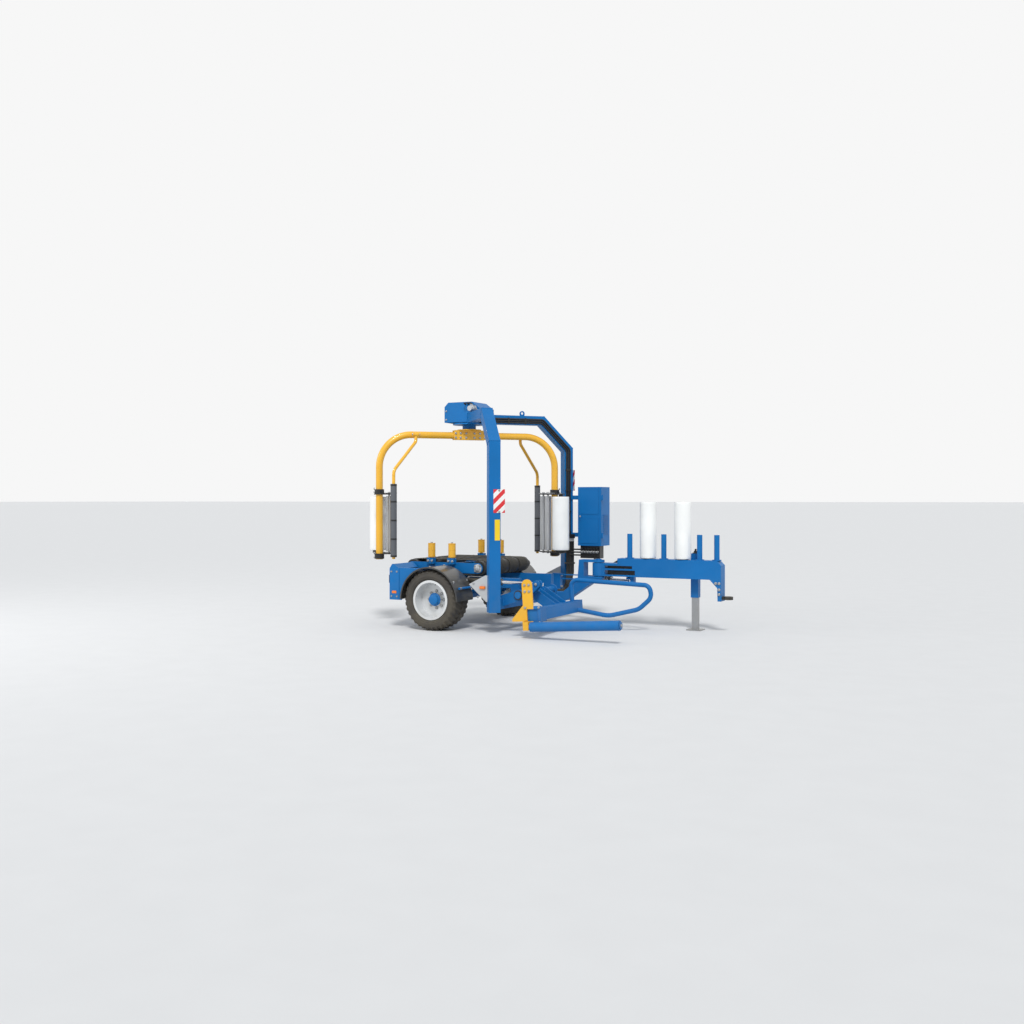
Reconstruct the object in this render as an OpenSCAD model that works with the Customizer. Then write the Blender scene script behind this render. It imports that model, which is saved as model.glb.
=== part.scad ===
// Trailed round-bale wrapper with a two-arm turning rotor over a roller table.
// Millimetres. X is forward (drawbar end), Y to the left, Z up.
// Inside the modules, places are counted from the point of the ground under
// the middle of the axle; in_frame() moves them to the part's own origin.

/* [Wheels] */
// Outer diameter of a tyre
tyre_d = 800; // [720:10:860]
// Width of a tyre
tyre_w = 380; // [320:10:400]
// Distance between the outer faces of the two tyres
track_w = 2400; // [2360:10:2480]
// Diameter of the rim's flange
rim_d = 520; // [480:10:560]
// How far the wheel's disc lies inside the outer face
dish_depth = 190; // [120:10:210]
// Radius of the stub axle
stub_r = 30; // [25:1:35]
// Gap between the tyre and its mudguard
guard_gap = 30; // [20:2:32]
// Thickness of the mudguard
guard_t = 8; // [5:1:10]

/* [Chassis] */
// Distance of each side beam's middle from the centre line
beam_y = 500; // [480:5:510]
// Width of a side beam
beam_w = 80; // [60:5:90]
// Height of a side beam
beam_h = 130; // [120:5:140]
// Underside of the side beams above the ground
beam_z = 545; // [540:1:550]
// Rear end of the side beams
beam_rear_x = -790; // [-820:5:-780]
// Depth of the front cross beam, along the machine
cross_w = 120; // [100:5:130]
// Height of the front cross beam
cross_h = 140; // [120:5:145]
// Underside of the front cross beam
cross_z = 315; // [300:5:320]
// Radius of the axle tube
axle_r = 55; // [50:1:60]
// Thickness of a chassis ear or bracket plate
ear_t = 20; // [15:1:25]

/* [Arch] */
// Place of the two corner legs along the machine
leg_x = 920; // [915:1:940]
// Distance of each corner leg from the centre line
leg_y = 1120; // [1115:1:1140]
// Size of a leg towards the turning centre
leg_depth = 130; // [120:5:145]
// Size of a leg across that direction
leg_width = 150; // [120:5:160]
// Foot of the legs above the ground
leg_foot_z = 280; // [270:5:300]
// Where a leg starts to lean inwards
leg_bend_z = 2470; // [2400:10:2520]
// Top of the overhead beams
arch_top_z = 2920; // [2900:5:2940]
// Height of the overhead beams
arch_beam_h = 130; // [110:5:140]
// How far the drive's cover rises over the beams
cover_rise = 160; // [120:5:180]
// Radius of a hydraulic hose
hose_r = 11; // [8:1:12]

/* [Rotor] */
// Place of the turning centre along the machine
rotor_x = -80; // [-90:5:-60]
// Parked angle of the first arm from straight ahead
rotor_angle = 45; // [40:1:50]
// Distance of an arm's drop tube from the turning centre
arm_reach = 1280; // [1270:2:1290]
// Radius of the arm tube
arm_tube_r = 48; // [40:1:50]
// Radius of the arm's bend, at the middle of the tube
arm_bend = 450; // [400:10:480]
// Middle of the arm's level tube above the ground
arm_z = 2620; // [2600:5:2630]
// Lower end of the drop tubes
arm_low_z = 900; // [890:2:930]
// Lower end of the trip sleeves
trip_low_z = 950; // [930:5:990]
// Top of the trip sleeves
trip_top_z = 2050; // [1950:10:2100]
// Radius of a trip sleeve
trip_sleeve_r = 42; // [36:1:46]

/* [Film] */
// Diameter of a film roll
film_d = 240; // [200:5:250]
// Length of a film roll
film_l = 750; // [500:250:750]
// Underside of the film rolls on the dispensers
film_z = 1010; // [1000:2:1030]
// Diameter of a stretch roller
stretch_d = 90; // [80:2:92]
// Radius of the spindle that a film roll turns on
spindle_r = 30; // [25:1:35]

/* [Table] */
// Diameter of a table roller
roller_d = 200; // [180:5:206]
// Distance between the two table rollers
roller_gap = 1040; // [1000:5:1060]
// Middle of the table rollers above the ground
roller_z = 800; // [798:1:806]
// Length of a table roller
roller_l = 1300; // [1280:2:1300]
// Thickness of a table belt
belt_t = 6; // [4:1:8]
// Width of a table belt
belt_w = 220; // [180:5:230]
// Place of the table's hinge along the machine
tilt_x = -700; // [-705:1:-695]
// Height of the table's hinge
tilt_z = 610; // [605:1:615]
// Radius of the table's hinge bar
tilt_bar_r = 35; // [30:1:38]
// Diameter of a guide roller
guide_d = 100; // [80:5:104]
// Height of a guide roller
guide_h = 190; // [150:5:200]

/* [Loader] */
// Place of the loader's hinge along the machine
lift_x = 1200; // [1195:1:1210]
// Height of the loader's hinge
lift_z = 500; // [495:1:505]
// Radius of the loader's hinge bar
lift_bar_r = 45; // [40:1:48]
// How far the loader is raised as the machine is parked, in degrees
lift_rest = 4; // [2:1:6]
// Distance of the outer roller from the centre line
outer_y = 1320; // [1315:1:1340]
// Diameter of the outer roller
outer_d = 120; // [100:5:125]
// Length of the outer roller
outer_l = 1180; // [1100:10:1220]
// Middle of the outer roller above the ground, loader lowered
outer_z = 125; // [120:1:130]
// Size of the cross box that carries the loader's arms
box_size = 150; // [130:5:155]
// Diameter of the hoop's tube
hoop_d = 60; // [50:2:64]
// Thickness of the loader's plates
loader_t = 20; // [15:1:22]

/* [Drawbar] */
// Place of the drawbar's swing pin along the machine
swing_x = 1750; // [1740:2:1770]
// Distance of the drawbar's swing pin from the centre line
swing_y = 350; // [345:1:360]
// Distance of the drawbar's middle from the centre line
bar_y = 380; // [370:1:390]
// Width of the drawbar
bar_w = 180; // [160:5:190]
// Underside of the drawbar
bar_z = 685; // [680:1:690]
// Height of the drawbar
bar_h = 245; // [230:5:250]
// Front end of the drawbar's level part
bar_front_x = 3470; // [3440:5:3500]
// Height of the tow eye
eye_z = 450; // [420:5:480]
// Radius of the tow eye's hole
eye_hole_r = 25; // [25:1:26]
// Radius of the swing pin
swing_pin_r = 30; // [25:1:35]
// Radius of a film peg
peg_r = 35; // [30:1:36]
// Height of a film peg
peg_h = 330; // [300:10:350]
// Diameter of a spare film roll
spare_d = 220; // [180:5:225]
// Place of the parking jack along the machine
jack_x = 3060; // [3050:5:3080]
// Size of the jack's square foot
jack_foot = 200; // [150:10:220]

/* [Cabinet] */
// Width of the control cabinet
cabinet_w = 360; // [320:10:380]
// Depth of the control cabinet
cabinet_d = 300; // [260:10:310]
// Height of the control cabinet
cabinet_h = 840; // [700:10:860]
// Underside of the control cabinet
cabinet_z = 1060; // [1050:5:1100]
// Wall thickness of the cabinet
cabinet_t = 12; // [8:1:14]

/* [Cylinders] */
// Radius of a cylinder's barrel
barrel_r = 38; // [34:1:40]
// Radius of a cylinder's rod
rod_r = 20; // [16:1:22]
// Radius of the pins at a cylinder's two ends
cyl_pin_r = 15; // [12:1:17]
// Play of the rod's pin in its plates, where the linkage is opened
eye_play = 14; // [13:1:16]

/* [Hidden] */

$fn = 48;
// running fit of a pin in its bore, on the radius
fit = 0.05;
// gap between two curved faces that lie against each other
seat = 0.3;

// colours as they show on the machine
blue = [0.0, 0.40, 0.75];
yellow = [0.95, 0.68, 0.15];
black = [0.06, 0.06, 0.07];
steel = [0.75, 0.76, 0.78];
film_white = [0.95, 0.95, 0.94];

wheel_y = track_w / 2 - tyre_w / 2;
wheel_r = tyre_d / 2;
wheel_in_y = track_w / 2 - tyre_w;
disc_y = track_w / 2 - dish_depth;
disc_t = 14;
guard_r = wheel_r + guard_gap;

// the arch halves stand in upright planes through the turning centre
leg_reach = norm([leg_x - rotor_x, leg_y]);
leg_turn = atan2(leg_y, leg_x - rotor_x);

// the tow eye is the front of the machine, the rear film roll its back
eye_r = 62;
eye_x = bar_front_x + 70;
roll_place = [arm_reach - 60, -420];
stretch_places = [[arm_reach - 175, -205], [arm_reach - 188, -45]];
rear_roll_angle = rotor_angle + 180;
rear_end = rotor_x + roll_place.x * cos(rear_roll_angle) - roll_place.y * sin(rear_roll_angle)
    - film_d / 2;
front_end = eye_x + eye_r;
right_end = -outer_y - outer_d / 2;
left_end = cabinet_y() + cabinet_d;
origin_x = (rear_end + front_end) / 2;
origin_y = (left_end + right_end) / 2;
function cabinet_y() = leg_y - 170;

module in_frame() {
    translate([-origin_x, -origin_y, 0])
        children();
}

// a round bar between two points
module bar(a, b, r) {
    d = b - a;
    translate(a)
        rotate([0, acos(d.z / norm(d)), atan2(d.y, d.x)])
            cylinder(h = norm(d), r = r);
}

// the weld between two lengths of tube
module weld(r) {
    rotate([0, 90, 0])
        cylinder(h = 6, r = r + 0.8, center = true);
}

// a tube bent in the plane of X and Y, starting along +X: each run is
// [straight length, turn of the bend after it, radius of that bend]
module bent_tube(runs, r, i = 0) {
    first = i > 0 ? 1 : 0;
    last = i < len(runs) - 1 ? 1 : 0;
    translate([first, 0, 0])
        rotate([0, 90, 0])
            cylinder(h = runs[i][0] - first - last, r = r);
    if (i < len(runs) - 1) {
        turn = abs(runs[i][1]);
        way = sign(runs[i][1]);
        bend = runs[i][2];
        translate([runs[i][0], 0, 0]) {
            weld(r);
            translate([0, way * bend, 0])
                rotate(way > 0 ? -90 : 90 - turn)
                    rotate_extrude(angle = turn)
                        translate([bend, 0])
                            circle(r);
            translate([bend * sin(turn), way * bend * (1 - cos(turn)), 0])
                rotate(way * turn) {
                    weld(r);
                    bent_tube(runs, r, i + 1);
                }
        }
    }
}

// a flat bar with round ends, drawn in the plane; its sides lie a hair inside
// the ends' width, so that they cross the round and don't only touch it
module link_2d(a, b, r) {
    for (p = [a, b])
        translate(p)
            circle(r);
    translate(a)
        rotate(atan2(b.y - a.y, b.x - a.x))
            translate([0, -r + 0.2])
                square([norm(b - a), 2 * r - 0.4]);
}

// a plate drawn in X and Z, thick along Y and centred on y
module side_plate(y, t) {
    translate([0, y + t / 2, 0])
        rotate([90, 0, 0])
            linear_extrude(t)
                children();
}

// Wheels

module tyre(side) {
    shoulder = 40;
    bead = rim_d / 2 - 20;
    bead_z = tyre_w / 2 - 40;
    translate([0, side * wheel_y, wheel_r])
        rotate([90, 0, 0])
            rotate_extrude($fn = 72)
                polygon([[bead, -bead_z], [rim_d / 2 + 7, -bead_z], [rim_d / 2 + 30, -tyre_w / 2],
                    [wheel_r - shoulder, -tyre_w / 2], [wheel_r, -tyre_w / 2 + shoulder],
                    [wheel_r, tyre_w / 2 - shoulder], [wheel_r - shoulder, tyre_w / 2],
                    [rim_d / 2 + 30, tyre_w / 2], [rim_d / 2 + 7, bead_z], [bead, bead_z]]);
}

module rim(side) {
    well = rim_d / 2 - 20 - seat;
    wall = 10;
    half = tyre_w / 2 - 40;
    hub_r = 85;
    disc_at = tyre_w / 2 - dish_depth;
    translate([0, side * wheel_y, wheel_r])
        rotate([side * 90, 0, 0])
            mirror([0, 0, 1])
                difference() {
                    rotate_extrude($fn = 72)
                        union() {
                            translate([well - wall, -half])
                                square([wall, 2 * half]);
                            for (z = [half + seat, -half - seat - 14])
                                translate([well - wall, z])
                                    square([rim_d / 2 + 2 - well + wall, 14]);
                            for (z = [half - 1, -half - seat - 1])
                                translate([well - wall, z])
                                    square([wall, seat + 2]);
                            translate([stub_r + fit, disc_at - disc_t])
                                square([well - wall / 2 - stub_r - fit, disc_t]);
                            translate([stub_r + fit, disc_at - 90])
                                square([hub_r - stub_r, 130]);
                        }
                    translate([0, 0, disc_at + 41])
                        cylinder(r = hub_r + 1, h = 100);
                }
}

module stub_axles() {
    for (side = [-1, 1])
        translate([0, side * (wheel_in_y - 60), wheel_r])
            rotate([-side * 90, 0, 0]) {
                cylinder(r = stub_r, h = disc_y - wheel_in_y + 60 + 25);
                cylinder(r = axle_r + 25, h = 20);
            }
}

module mudguard(side) {
    lip = 22;
    w = tyre_w + 40;
    translate([0, side * (wheel_y + 5), wheel_r])
        rotate([90, 0, 0])
            translate([0, 0, -w / 2])
                rotate_extrude(angle = 180, $fn = 72)
                    union() {
                        translate([guard_r, 0])
                            square([guard_t, w]);
                        translate([guard_r - lip / 2, side < 0 ? w - guard_t : 0])
                            square([lip / 2 + guard_t, guard_t]);
                    }
}

// Chassis

module side_beam(side) {
    difference() {
        translate([beam_rear_x, side * beam_y - beam_w / 2, beam_z])
            cube([leg_x + cross_w / 2 - beam_rear_x, beam_w, beam_h]);
        translate([tilt_x, side * beam_y, tilt_z])
            rotate([90, 0, 0])
                cylinder(r = tilt_bar_r + fit, h = beam_w + 2, center = true);
    }
    translate([leg_x - cross_w / 2, side * beam_y - beam_w / 2, cross_z])
        cube([cross_w, beam_w, beam_z - cross_z + 1]);
    translate([-90, side * beam_y - beam_w / 2, wheel_r - axle_r - 15])
        cube([180, beam_w, beam_z - wheel_r + axle_r + 16]);
}

// an ear on the front cross beam that the loader's hinge bar turns in
module lift_ear(y) {
    side_plate(y, ear_t)
        difference() {
            union() {
                link_2d([leg_x, cross_z + cross_h - 50], [lift_x, lift_z], lift_bar_r + 25);
            }
            translate([lift_x, lift_z])
                circle(lift_bar_r + fit);
        }
}

lift_ear_places = [-960, -330, 40];

// the upswept neck from the cross beam to the drawbar's swing pin
neck_back_x = swing_x - 190;
neck_ear_t = 32;
knuckle_h = bar_h - 70;
module neck() {
    w = 160;
    translate([0, swing_y + w / 2, 0])
        rotate([90, 0, 0])
            linear_extrude(w)
                polygon([[leg_x, cross_z + 15], [1290, cross_z + 15], [swing_x - 90, bar_z - 110],
                    [swing_x - 90, bar_z - neck_ear_t - 8], [neck_back_x, bar_z - 8],
                    [neck_back_x, bar_z + knuckle_h + 8 + neck_ear_t],
                    [neck_back_x - 70, bar_z + knuckle_h + 8 + neck_ear_t], [neck_back_x - 90, bar_z - 60],
                    [1240, cross_z + cross_h - 10], [leg_x, cross_z + cross_h - 10]]);
    for (z = [bar_z - 8 - neck_ear_t, bar_z + knuckle_h + 8])
        translate([0, swing_y, z])
            linear_extrude(neck_ear_t)
                difference() {
                    link_2d([neck_back_x - 10, 0], [swing_x, 0], w / 2);
                    translate([neck_back_x - 110, -w])
                        square([40, 2 * w]);
                }
    translate([swing_x, swing_y, bar_z - 8 - neck_ear_t - 12])
        cylinder(r = swing_pin_r, h = knuckle_h + 2 * (8 + neck_ear_t + 12));
    for (z = [bar_z - 8 - neck_ear_t - 12, bar_z + knuckle_h + 8 + neck_ear_t])
        translate([swing_x, swing_y, z])
            cylinder(r = swing_pin_r + 12, h = 12);
}

// clevis that a cylinder's barrel hangs in: two plates and the pin, in X and Z
eye_w = 40;
fork_t = 12;
fork_gap = 3;
module barrel_fork(p, root) {
    for (side = [-1, 1])
        side_plate(p.y + side * (eye_w / 2 + fork_gap + fork_t / 2), fork_t)
            link_2d([p.x, p.z], root, 30);
    translate(p)
        rotate([90, 0, 0])
            cylinder(r = cyl_pin_r, h = eye_w + 2 * (fork_gap + fork_t) + 10, center = true);
}

rear_beam_w = 80;
rear_beam_h = 110;
rear_beam_z = 455;
rear_beam_x = tilt_x + 80;
rear_beam_half = 1174;

module chassis_frame() {
    color(blue) in_frame() {
        for (side = [-1, 1])
            side_beam(side);
        // front cross beam, its ends cut to the two legs
        difference() {
            translate([leg_x - cross_w / 2, -leg_y, cross_z])
                cube([cross_w, 2 * leg_y, cross_h]);
            leg_space(cross_z - 1, cross_h + 2);
        }
        // rear cross member that carries the lamp panels
        translate([rear_beam_x, -rear_beam_half, rear_beam_z])
            cube([rear_beam_w, 2 * rear_beam_half, rear_beam_h]);
        // axle tube and stubs
        translate([0, 0, wheel_r])
            rotate([90, 0, 0])
                cylinder(r = axle_r, h = 2 * (wheel_in_y - 40), center = true);
        stub_axles();
        for (y = lift_ear_places)
            lift_ear(y);
        neck();
        tilt_beam();
        swing_post();
    }
}

// the forks that the cylinders' barrels hang in and the mudguards' rods,
// bolted to the frame
module frame_brackets() {
    color(blue) in_frame() {
        guard_rods();
        barrel_fork(lift_barrel_at, [lift_barrel_at.x - 90, beam_z + beam_h / 2]);
        lift_block();
        difference() {
            barrel_fork(tilt_barrel_at, [tilt_beam_x + 40, tilt_barrel_at.z]);
            translate([-seat, 0, 0])
                tilt_beam();
        }
        difference() {
            swing_fork();
            translate([seat, 0, 0])
                swing_post();
        }
    }
}

// the room that the two legs take, a hair wider than they are
module leg_space(z, h) {
    for (side = [-1, 1])
        translate([rotor_x, 0, z])
            rotate(side * leg_turn)
                translate([leg_reach - leg_depth / 2 - seat / 2, -leg_width / 2 - seat / 2, 0])
                    cube([leg_depth + seat + 100, leg_width + seat, h]);
}

guard_rod_r = 15;
guard_rod_z = beam_z + 20;
guard_rod_x = sqrt(pow(guard_r + guard_t + guard_rod_r + seat, 2) - pow(guard_rod_z - wheel_r, 2));
module guard_rods() {
    for (side = [-1, 1], end = [-1, 1])
        bar([end * guard_rod_x, side * (beam_y + beam_w / 2 + seat), guard_rod_z],
            [end * guard_rod_x, side * (track_w / 2 - 60), guard_rod_z], guard_rod_r);
}

// lift cylinder: from its fork on the right side beam to the loader's lever
lift_cyl_y = -680;
lift_barrel_at = [250, lift_cyl_y, 640];
lever_r = 180;
lever_low = 40;
lever_angle = lever_low + lift_rest;
lift_eye_at = [lift_x + lever_r * cos(lever_angle), lift_cyl_y, lift_z + lever_r * sin(lever_angle)];
module lift_block() {
    translate([lift_barrel_at.x - 125, lift_cyl_y - 37, beam_z + 15])
        cube([50, 37 - lift_cyl_y - beam_y - beam_w / 2 - seat, beam_h - 30]);
}

// tilt cylinder: from a fork on the chassis's middle beam to the table's bracket
tilt_barrel_at = [210, 0, 520];
tilt_eye_at = [tilt_x + 350, 0, tilt_z];
tilt_beam_x = 250;
module tilt_beam() {
    translate([tilt_beam_x, -beam_y, beam_z - 75])
        cube([80, 2 * beam_y, 90]);
}

// swing cylinder: level, from the chassis's left beam end to the drawbar
swing_cyl_z = 620;
swing_barrel_at = [1300, 800, swing_cyl_z];
swing_eye_at = [2150, 500, swing_cyl_z];
module swing_fork() {
    for (side = [-1, 1])
        translate([0, 0, swing_cyl_z + side * (eye_w / 2 + fork_gap + fork_t / 2) - fork_t / 2])
            linear_extrude(fork_t)
                link_2d([swing_barrel_at.x, swing_barrel_at.y], [leg_x + 20, 800], 38);
    translate(swing_barrel_at)
        cylinder(r = cyl_pin_r, h = eye_w + 2 * (fork_gap + fork_t) + 10, center = true);
}

// the post on the front cross beam that carries the swing cylinder's fork
module swing_post() {
    translate([leg_x - cross_w / 2, 760, cross_z + cross_h - 1])
        cube([cross_w, 80, swing_cyl_z + 50 - cross_z - cross_h]);
}

// a barrel along +X from its rear pin at the origin, the pin along Y
barrel_mouth = 30;
module barrel_x(length) {
    difference() {
        union() {
            rotate([90, 0, 0])
                cylinder(r = cyl_pin_r + 15, h = eye_w, center = true);
            translate([20, 0, 0])
                rotate([0, 90, 0])
                    cylinder(r = barrel_r, h = length - 20);
            translate([length - 40, 0, 0])
                rotate([0, 90, 0])
                    cylinder(r = barrel_r + 5, h = 40);
        }
        rotate([90, 0, 0])
            cylinder(r = cyl_pin_r + fit, h = 4 * barrel_r, center = true);
        translate([60, 0, 0])
            rotate([0, 90, 0])
                cylinder(r = rod_r + fit, h = length);
        for (side = [-1, 1])
            translate([-60, side * (eye_w / 2 + 50) - 50, -60])
                cube([100, 100, 120]);
    }
}

// a rod along +X from start to its eye at length, with its cross pin and washers
module rod_x(start, length) {
    difference() {
        union() {
            translate([start, 0, 0])
                rotate([0, 90, 0])
                    cylinder(r = rod_r, h = length - start);
            translate([length, 0, 0])
                rotate([90, 0, 0])
                    cylinder(r = cyl_pin_r + 15, h = eye_w, center = true);
        }
        translate([length, 0, 0])
            rotate([90, 0, 0])
                cylinder(r = cyl_pin_r + fit, h = 2 * eye_w, center = true);
    }
}

// rod whose pin goes through the plates that hold it
module pinned_rod_x(start, length, plate_gap) {
    washer = cyl_pin_r + eye_play + 5;
    translate([start, 0, 0])
        rotate([0, 90, 0])
            cylinder(r = rod_r, h = length - start);
    translate([length, 0, 0])
        rotate([90, 0, 0]) {
            cylinder(r = cyl_pin_r + 15, h = eye_w, center = true);
            cylinder(r = cyl_pin_r, h = plate_gap + 2 * (loader_t + 6 + 8), center = true);
            for (side = [-1, 1])
                translate([0, 0, side * (plate_gap / 2 + loader_t + 6 + 4)])
                    cylinder(r = washer, h = 8, center = true);
        }
}
lever_gap = 60;

module aim(p, q) {
    d = q - p;
    translate(p)
        rotate([0, -atan2(d.z, norm([d.x, d.y])), atan2(d.y, d.x)])
            children();
}

lift_len = norm(lift_eye_at - lift_barrel_at);
tilt_len = norm(tilt_eye_at - tilt_barrel_at);
swing_len = norm(swing_eye_at - swing_barrel_at);
lift_barrel_len = 560;
tilt_barrel_len = 400;
swing_barrel_len = 560;

module lift_barrel() {
    color(black) in_frame() aim(lift_barrel_at, lift_eye_at) barrel_x(lift_barrel_len);
}
module lift_rod() {
    color(steel) in_frame() aim(lift_barrel_at, lift_eye_at) rod_x(380, lift_len);
}
module tilt_barrel() {
    color(black) in_frame() aim(tilt_barrel_at, tilt_eye_at) barrel_x(tilt_barrel_len);
}
module tilt_rod() {
    color(steel) in_frame() aim(tilt_barrel_at, tilt_eye_at) rod_x(90, tilt_len);
}
module swing_barrel() {
    color(black) in_frame() aim(swing_barrel_at, swing_eye_at) rotate([90, 0, 0])
        barrel_x(swing_barrel_len);
}
module swing_rod() {
    color(steel) in_frame() aim(swing_barrel_at, swing_eye_at) rotate([90, 0, 0])
        pinned_rod_x(400, swing_len, lever_gap);
}

// Arch

// one half in its own plane: distance from the turning centre, and height
module arch_half() {
    r_out = leg_reach + leg_depth / 2;
    r_in = leg_reach - leg_depth / 2;
    drop = arch_beam_h * tan(22.5);
    translate([0, leg_width / 2, 0])
        rotate([90, 0, 0])
            linear_extrude(leg_width)
                polygon([[r_in, leg_foot_z], [r_out, leg_foot_z], [r_out, leg_bend_z],
                    [r_out - (arch_top_z - leg_bend_z), arch_top_z], [90, arch_top_z],
                    [90, arch_top_z - arch_beam_h],
                    [r_out - (arch_top_z - leg_bend_z) - drop, arch_top_z - arch_beam_h],
                    [r_in, leg_bend_z - leg_depth * tan(22.5)]]);
}

head_r = 230;
ring_at = 800;
head_z = arch_top_z - arch_beam_h - 20;
module arch_frame() {
    color(blue) in_frame() {
        for (side = [-1, 1])
            translate([rotor_x, 0, 0])
                rotate(side * leg_turn)
                    arch_half();
        // lifting eye on the left beam
        translate([rotor_x, 0, 0])
            rotate(leg_turn)
                side_plate(0, 16)
                    difference() {
                        union() {
                            translate([ring_at, arch_top_z + 35])
                                circle(38);
                            translate([ring_at - 34, arch_top_z - 2])
                                square([68, 37]);
                        }
                        translate([ring_at, arch_top_z + 38])
                            circle(18);
                    }
        // the head plate and bearing housing that the rotor hangs from
        translate([rotor_x, 0, head_z])
            cylinder(r = head_r, h = 20);
        translate([rotor_x, 0, head_z])
            cylinder(r = 110, h = arch_beam_h + 20);
        translate([rotor_x, 0, head_z - 60])
            difference() {
                cylinder(r = 95, h = 61);
                translate([0, 0, -1])
                    cylinder(r = rotor_shaft_r + fit, h = 52);
            }
    }
}
rotor_shaft_r = 45;

cover_z = arch_top_z - arch_beam_h + 10;
cover_top_z = arch_top_z + cover_rise;
cover_len = 2 * head_r + 100;
cover_wide = 2 * head_r - 40;
cover_t = 10;
module cover_side(t) {
    polygon([[t, cover_z - t], [cover_len - t, cover_z - t],
        [cover_len - t, arch_top_z + 0.44 * cover_rise - t],
        [cover_len - 120 - t / 2, cover_top_z - t], [60 + t / 2, cover_top_z - t],
        [t, arch_top_z + 0.62 * cover_rise - t]]);
}
module gearbox_cover() {
    // a folded cover over the drive, open below, notched over the two beams
    color(blue) in_frame()
        difference() {
            translate([rotor_x - cover_len / 2, cover_wide / 2, 0])
                rotate([90, 0, 0])
                    linear_extrude(cover_wide)
                        cover_side(0);
            translate([rotor_x - cover_len / 2, cover_wide / 2 - cover_t, 0])
                rotate([90, 0, 0])
                    linear_extrude(cover_wide - 2 * cover_t)
                        cover_side(cover_t);
            for (side = [-1, 1])
                translate([rotor_x, 0, cover_z - 1])
                    rotate(side * leg_turn)
                        translate([0, -leg_width / 2 - 1 - (side > 0 ? 2 * hose_r + 4 : 0), 0])
                            cube([500, leg_width + 2 + (side > 0 ? 2 * hose_r + 4 : 0),
                                arch_top_z - cover_z + 2]);
        }
}

// three hoses from the drive along the left beam and leg to the valves
hose_in = 26;
hose_step = 2 * hose_r + 4;
hose_bend = 80;
hose_start = 90;
hose_collar = 1.6;
hose_side = leg_width / 2 + seat + hose_collar + hose_r;
module arch_hoses() {
    r_in = leg_reach - leg_depth / 2;
    drop = arch_beam_h * tan(22.5);
    knee = r_in + leg_depth - (arch_top_z - leg_bend_z) - drop;
    low_z = leg_bend_z - leg_depth * tan(22.5);
    cut = hose_bend * tan(22.5);
    color(black) in_frame()
        for (i = [0, 1, 2]) {
            o = hose_in + i * hose_step;
            knee_r = knee + o * tan(22.5);
            leg_r = r_in + o;
            end_z = cabinet_z - 140 + i * 40;
            end_x = rotor_x + leg_r * cos(leg_turn) + hose_side * sin(leg_turn);
            end_y = leg_r * sin(leg_turn) - hose_side * cos(leg_turn);
            translate([rotor_x, 0, 0])
                rotate(leg_turn)
                    translate([hose_start, -hose_side, arch_top_z - arch_beam_h + o])
                        rotate([90, 0, 0])
                            bent_tube([[knee_r - hose_start - cut, -45, hose_bend],
                                [(leg_r - knee_r) * sqrt(2) - 2 * cut, -45, hose_bend],
                                [low_z + o * tan(22.5) - cut - end_z - hose_bend, 0, 0]], hose_r,
                                $fn = 20);
            // quarter turn forwards into the valve block
            translate([end_x, end_y, end_z + hose_bend])
                cylinder(r = hose_r + hose_collar, h = 40, center = true, $fn = 20);
            translate([end_x, end_y, end_z + hose_bend])
                rotate([90, 0, 0])
                    rotate(-90)
                        bent_tube([[10, 90, hose_bend - 10],
                            [cabinet_x + 20 - seat - end_x - hose_bend + 10, 0, 0]], hose_r, $fn = 20);
        }
}

module gearbox_motor() {
    color(steel) in_frame()
        translate([rotor_x, 0, arch_top_z]) {
            cylinder(r = 70, h = 60);
            translate([0, 0, 60])
                cylinder(r = 50, h = 80);
        }
}

// Rotor

module on_rotor(turn) {
    translate([rotor_x, 0, 0])
        rotate(rotor_angle + turn)
            children();
}

hub_top_z = head_z - 66;
module rotor_head() {
    translate([rotor_x, 0, 0])
        rotate(rotor_angle) {
            translate([0, 0, hub_top_z - 12])
                cylinder(r = 170, h = 12);
            translate([0, 0, hub_top_z - 1])
                cylinder(r = rotor_shaft_r, h = 47);
            // two side plates that the arms are welded in
            for (side = [-1, 1])
                translate([-230, side * (arm_tube_r + 4) - 6, arm_z - 60])
                    cube([460, 12, hub_top_z - arm_z + 50]);
        }
}

trip_knuckle_w = 60;
module rotor_arms() {
    color(yellow) in_frame() {
        rotor_head();
        for (turn = [0, 180])
            on_rotor(turn) {
                translate([0, 0, arm_z])
                    rotate([90, 0, 0])
                        bent_tube([[arm_reach - arm_bend, -90, arm_bend],
                            [arm_z - arm_bend - arm_low_z, 0, 0]], arm_tube_r);
                // lugs and pin that the trip bar hangs from
                for (end = [-1, 1])
                    translate([trip_hinge.x + end * (trip_knuckle_w / 2 + 8) - 6, 0, trip_hinge.z])
                        rotate([90, 0, 90])
                            linear_extrude(12)
                                link_2d([0, 0], [trip_hinge.y, 0], 30);
                translate(trip_hinge)
                    rotate([0, 90, 0])
                        cylinder(r = trip_pin_r, h = trip_knuckle_w + 30, center = true);
            }
    }
}

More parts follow.
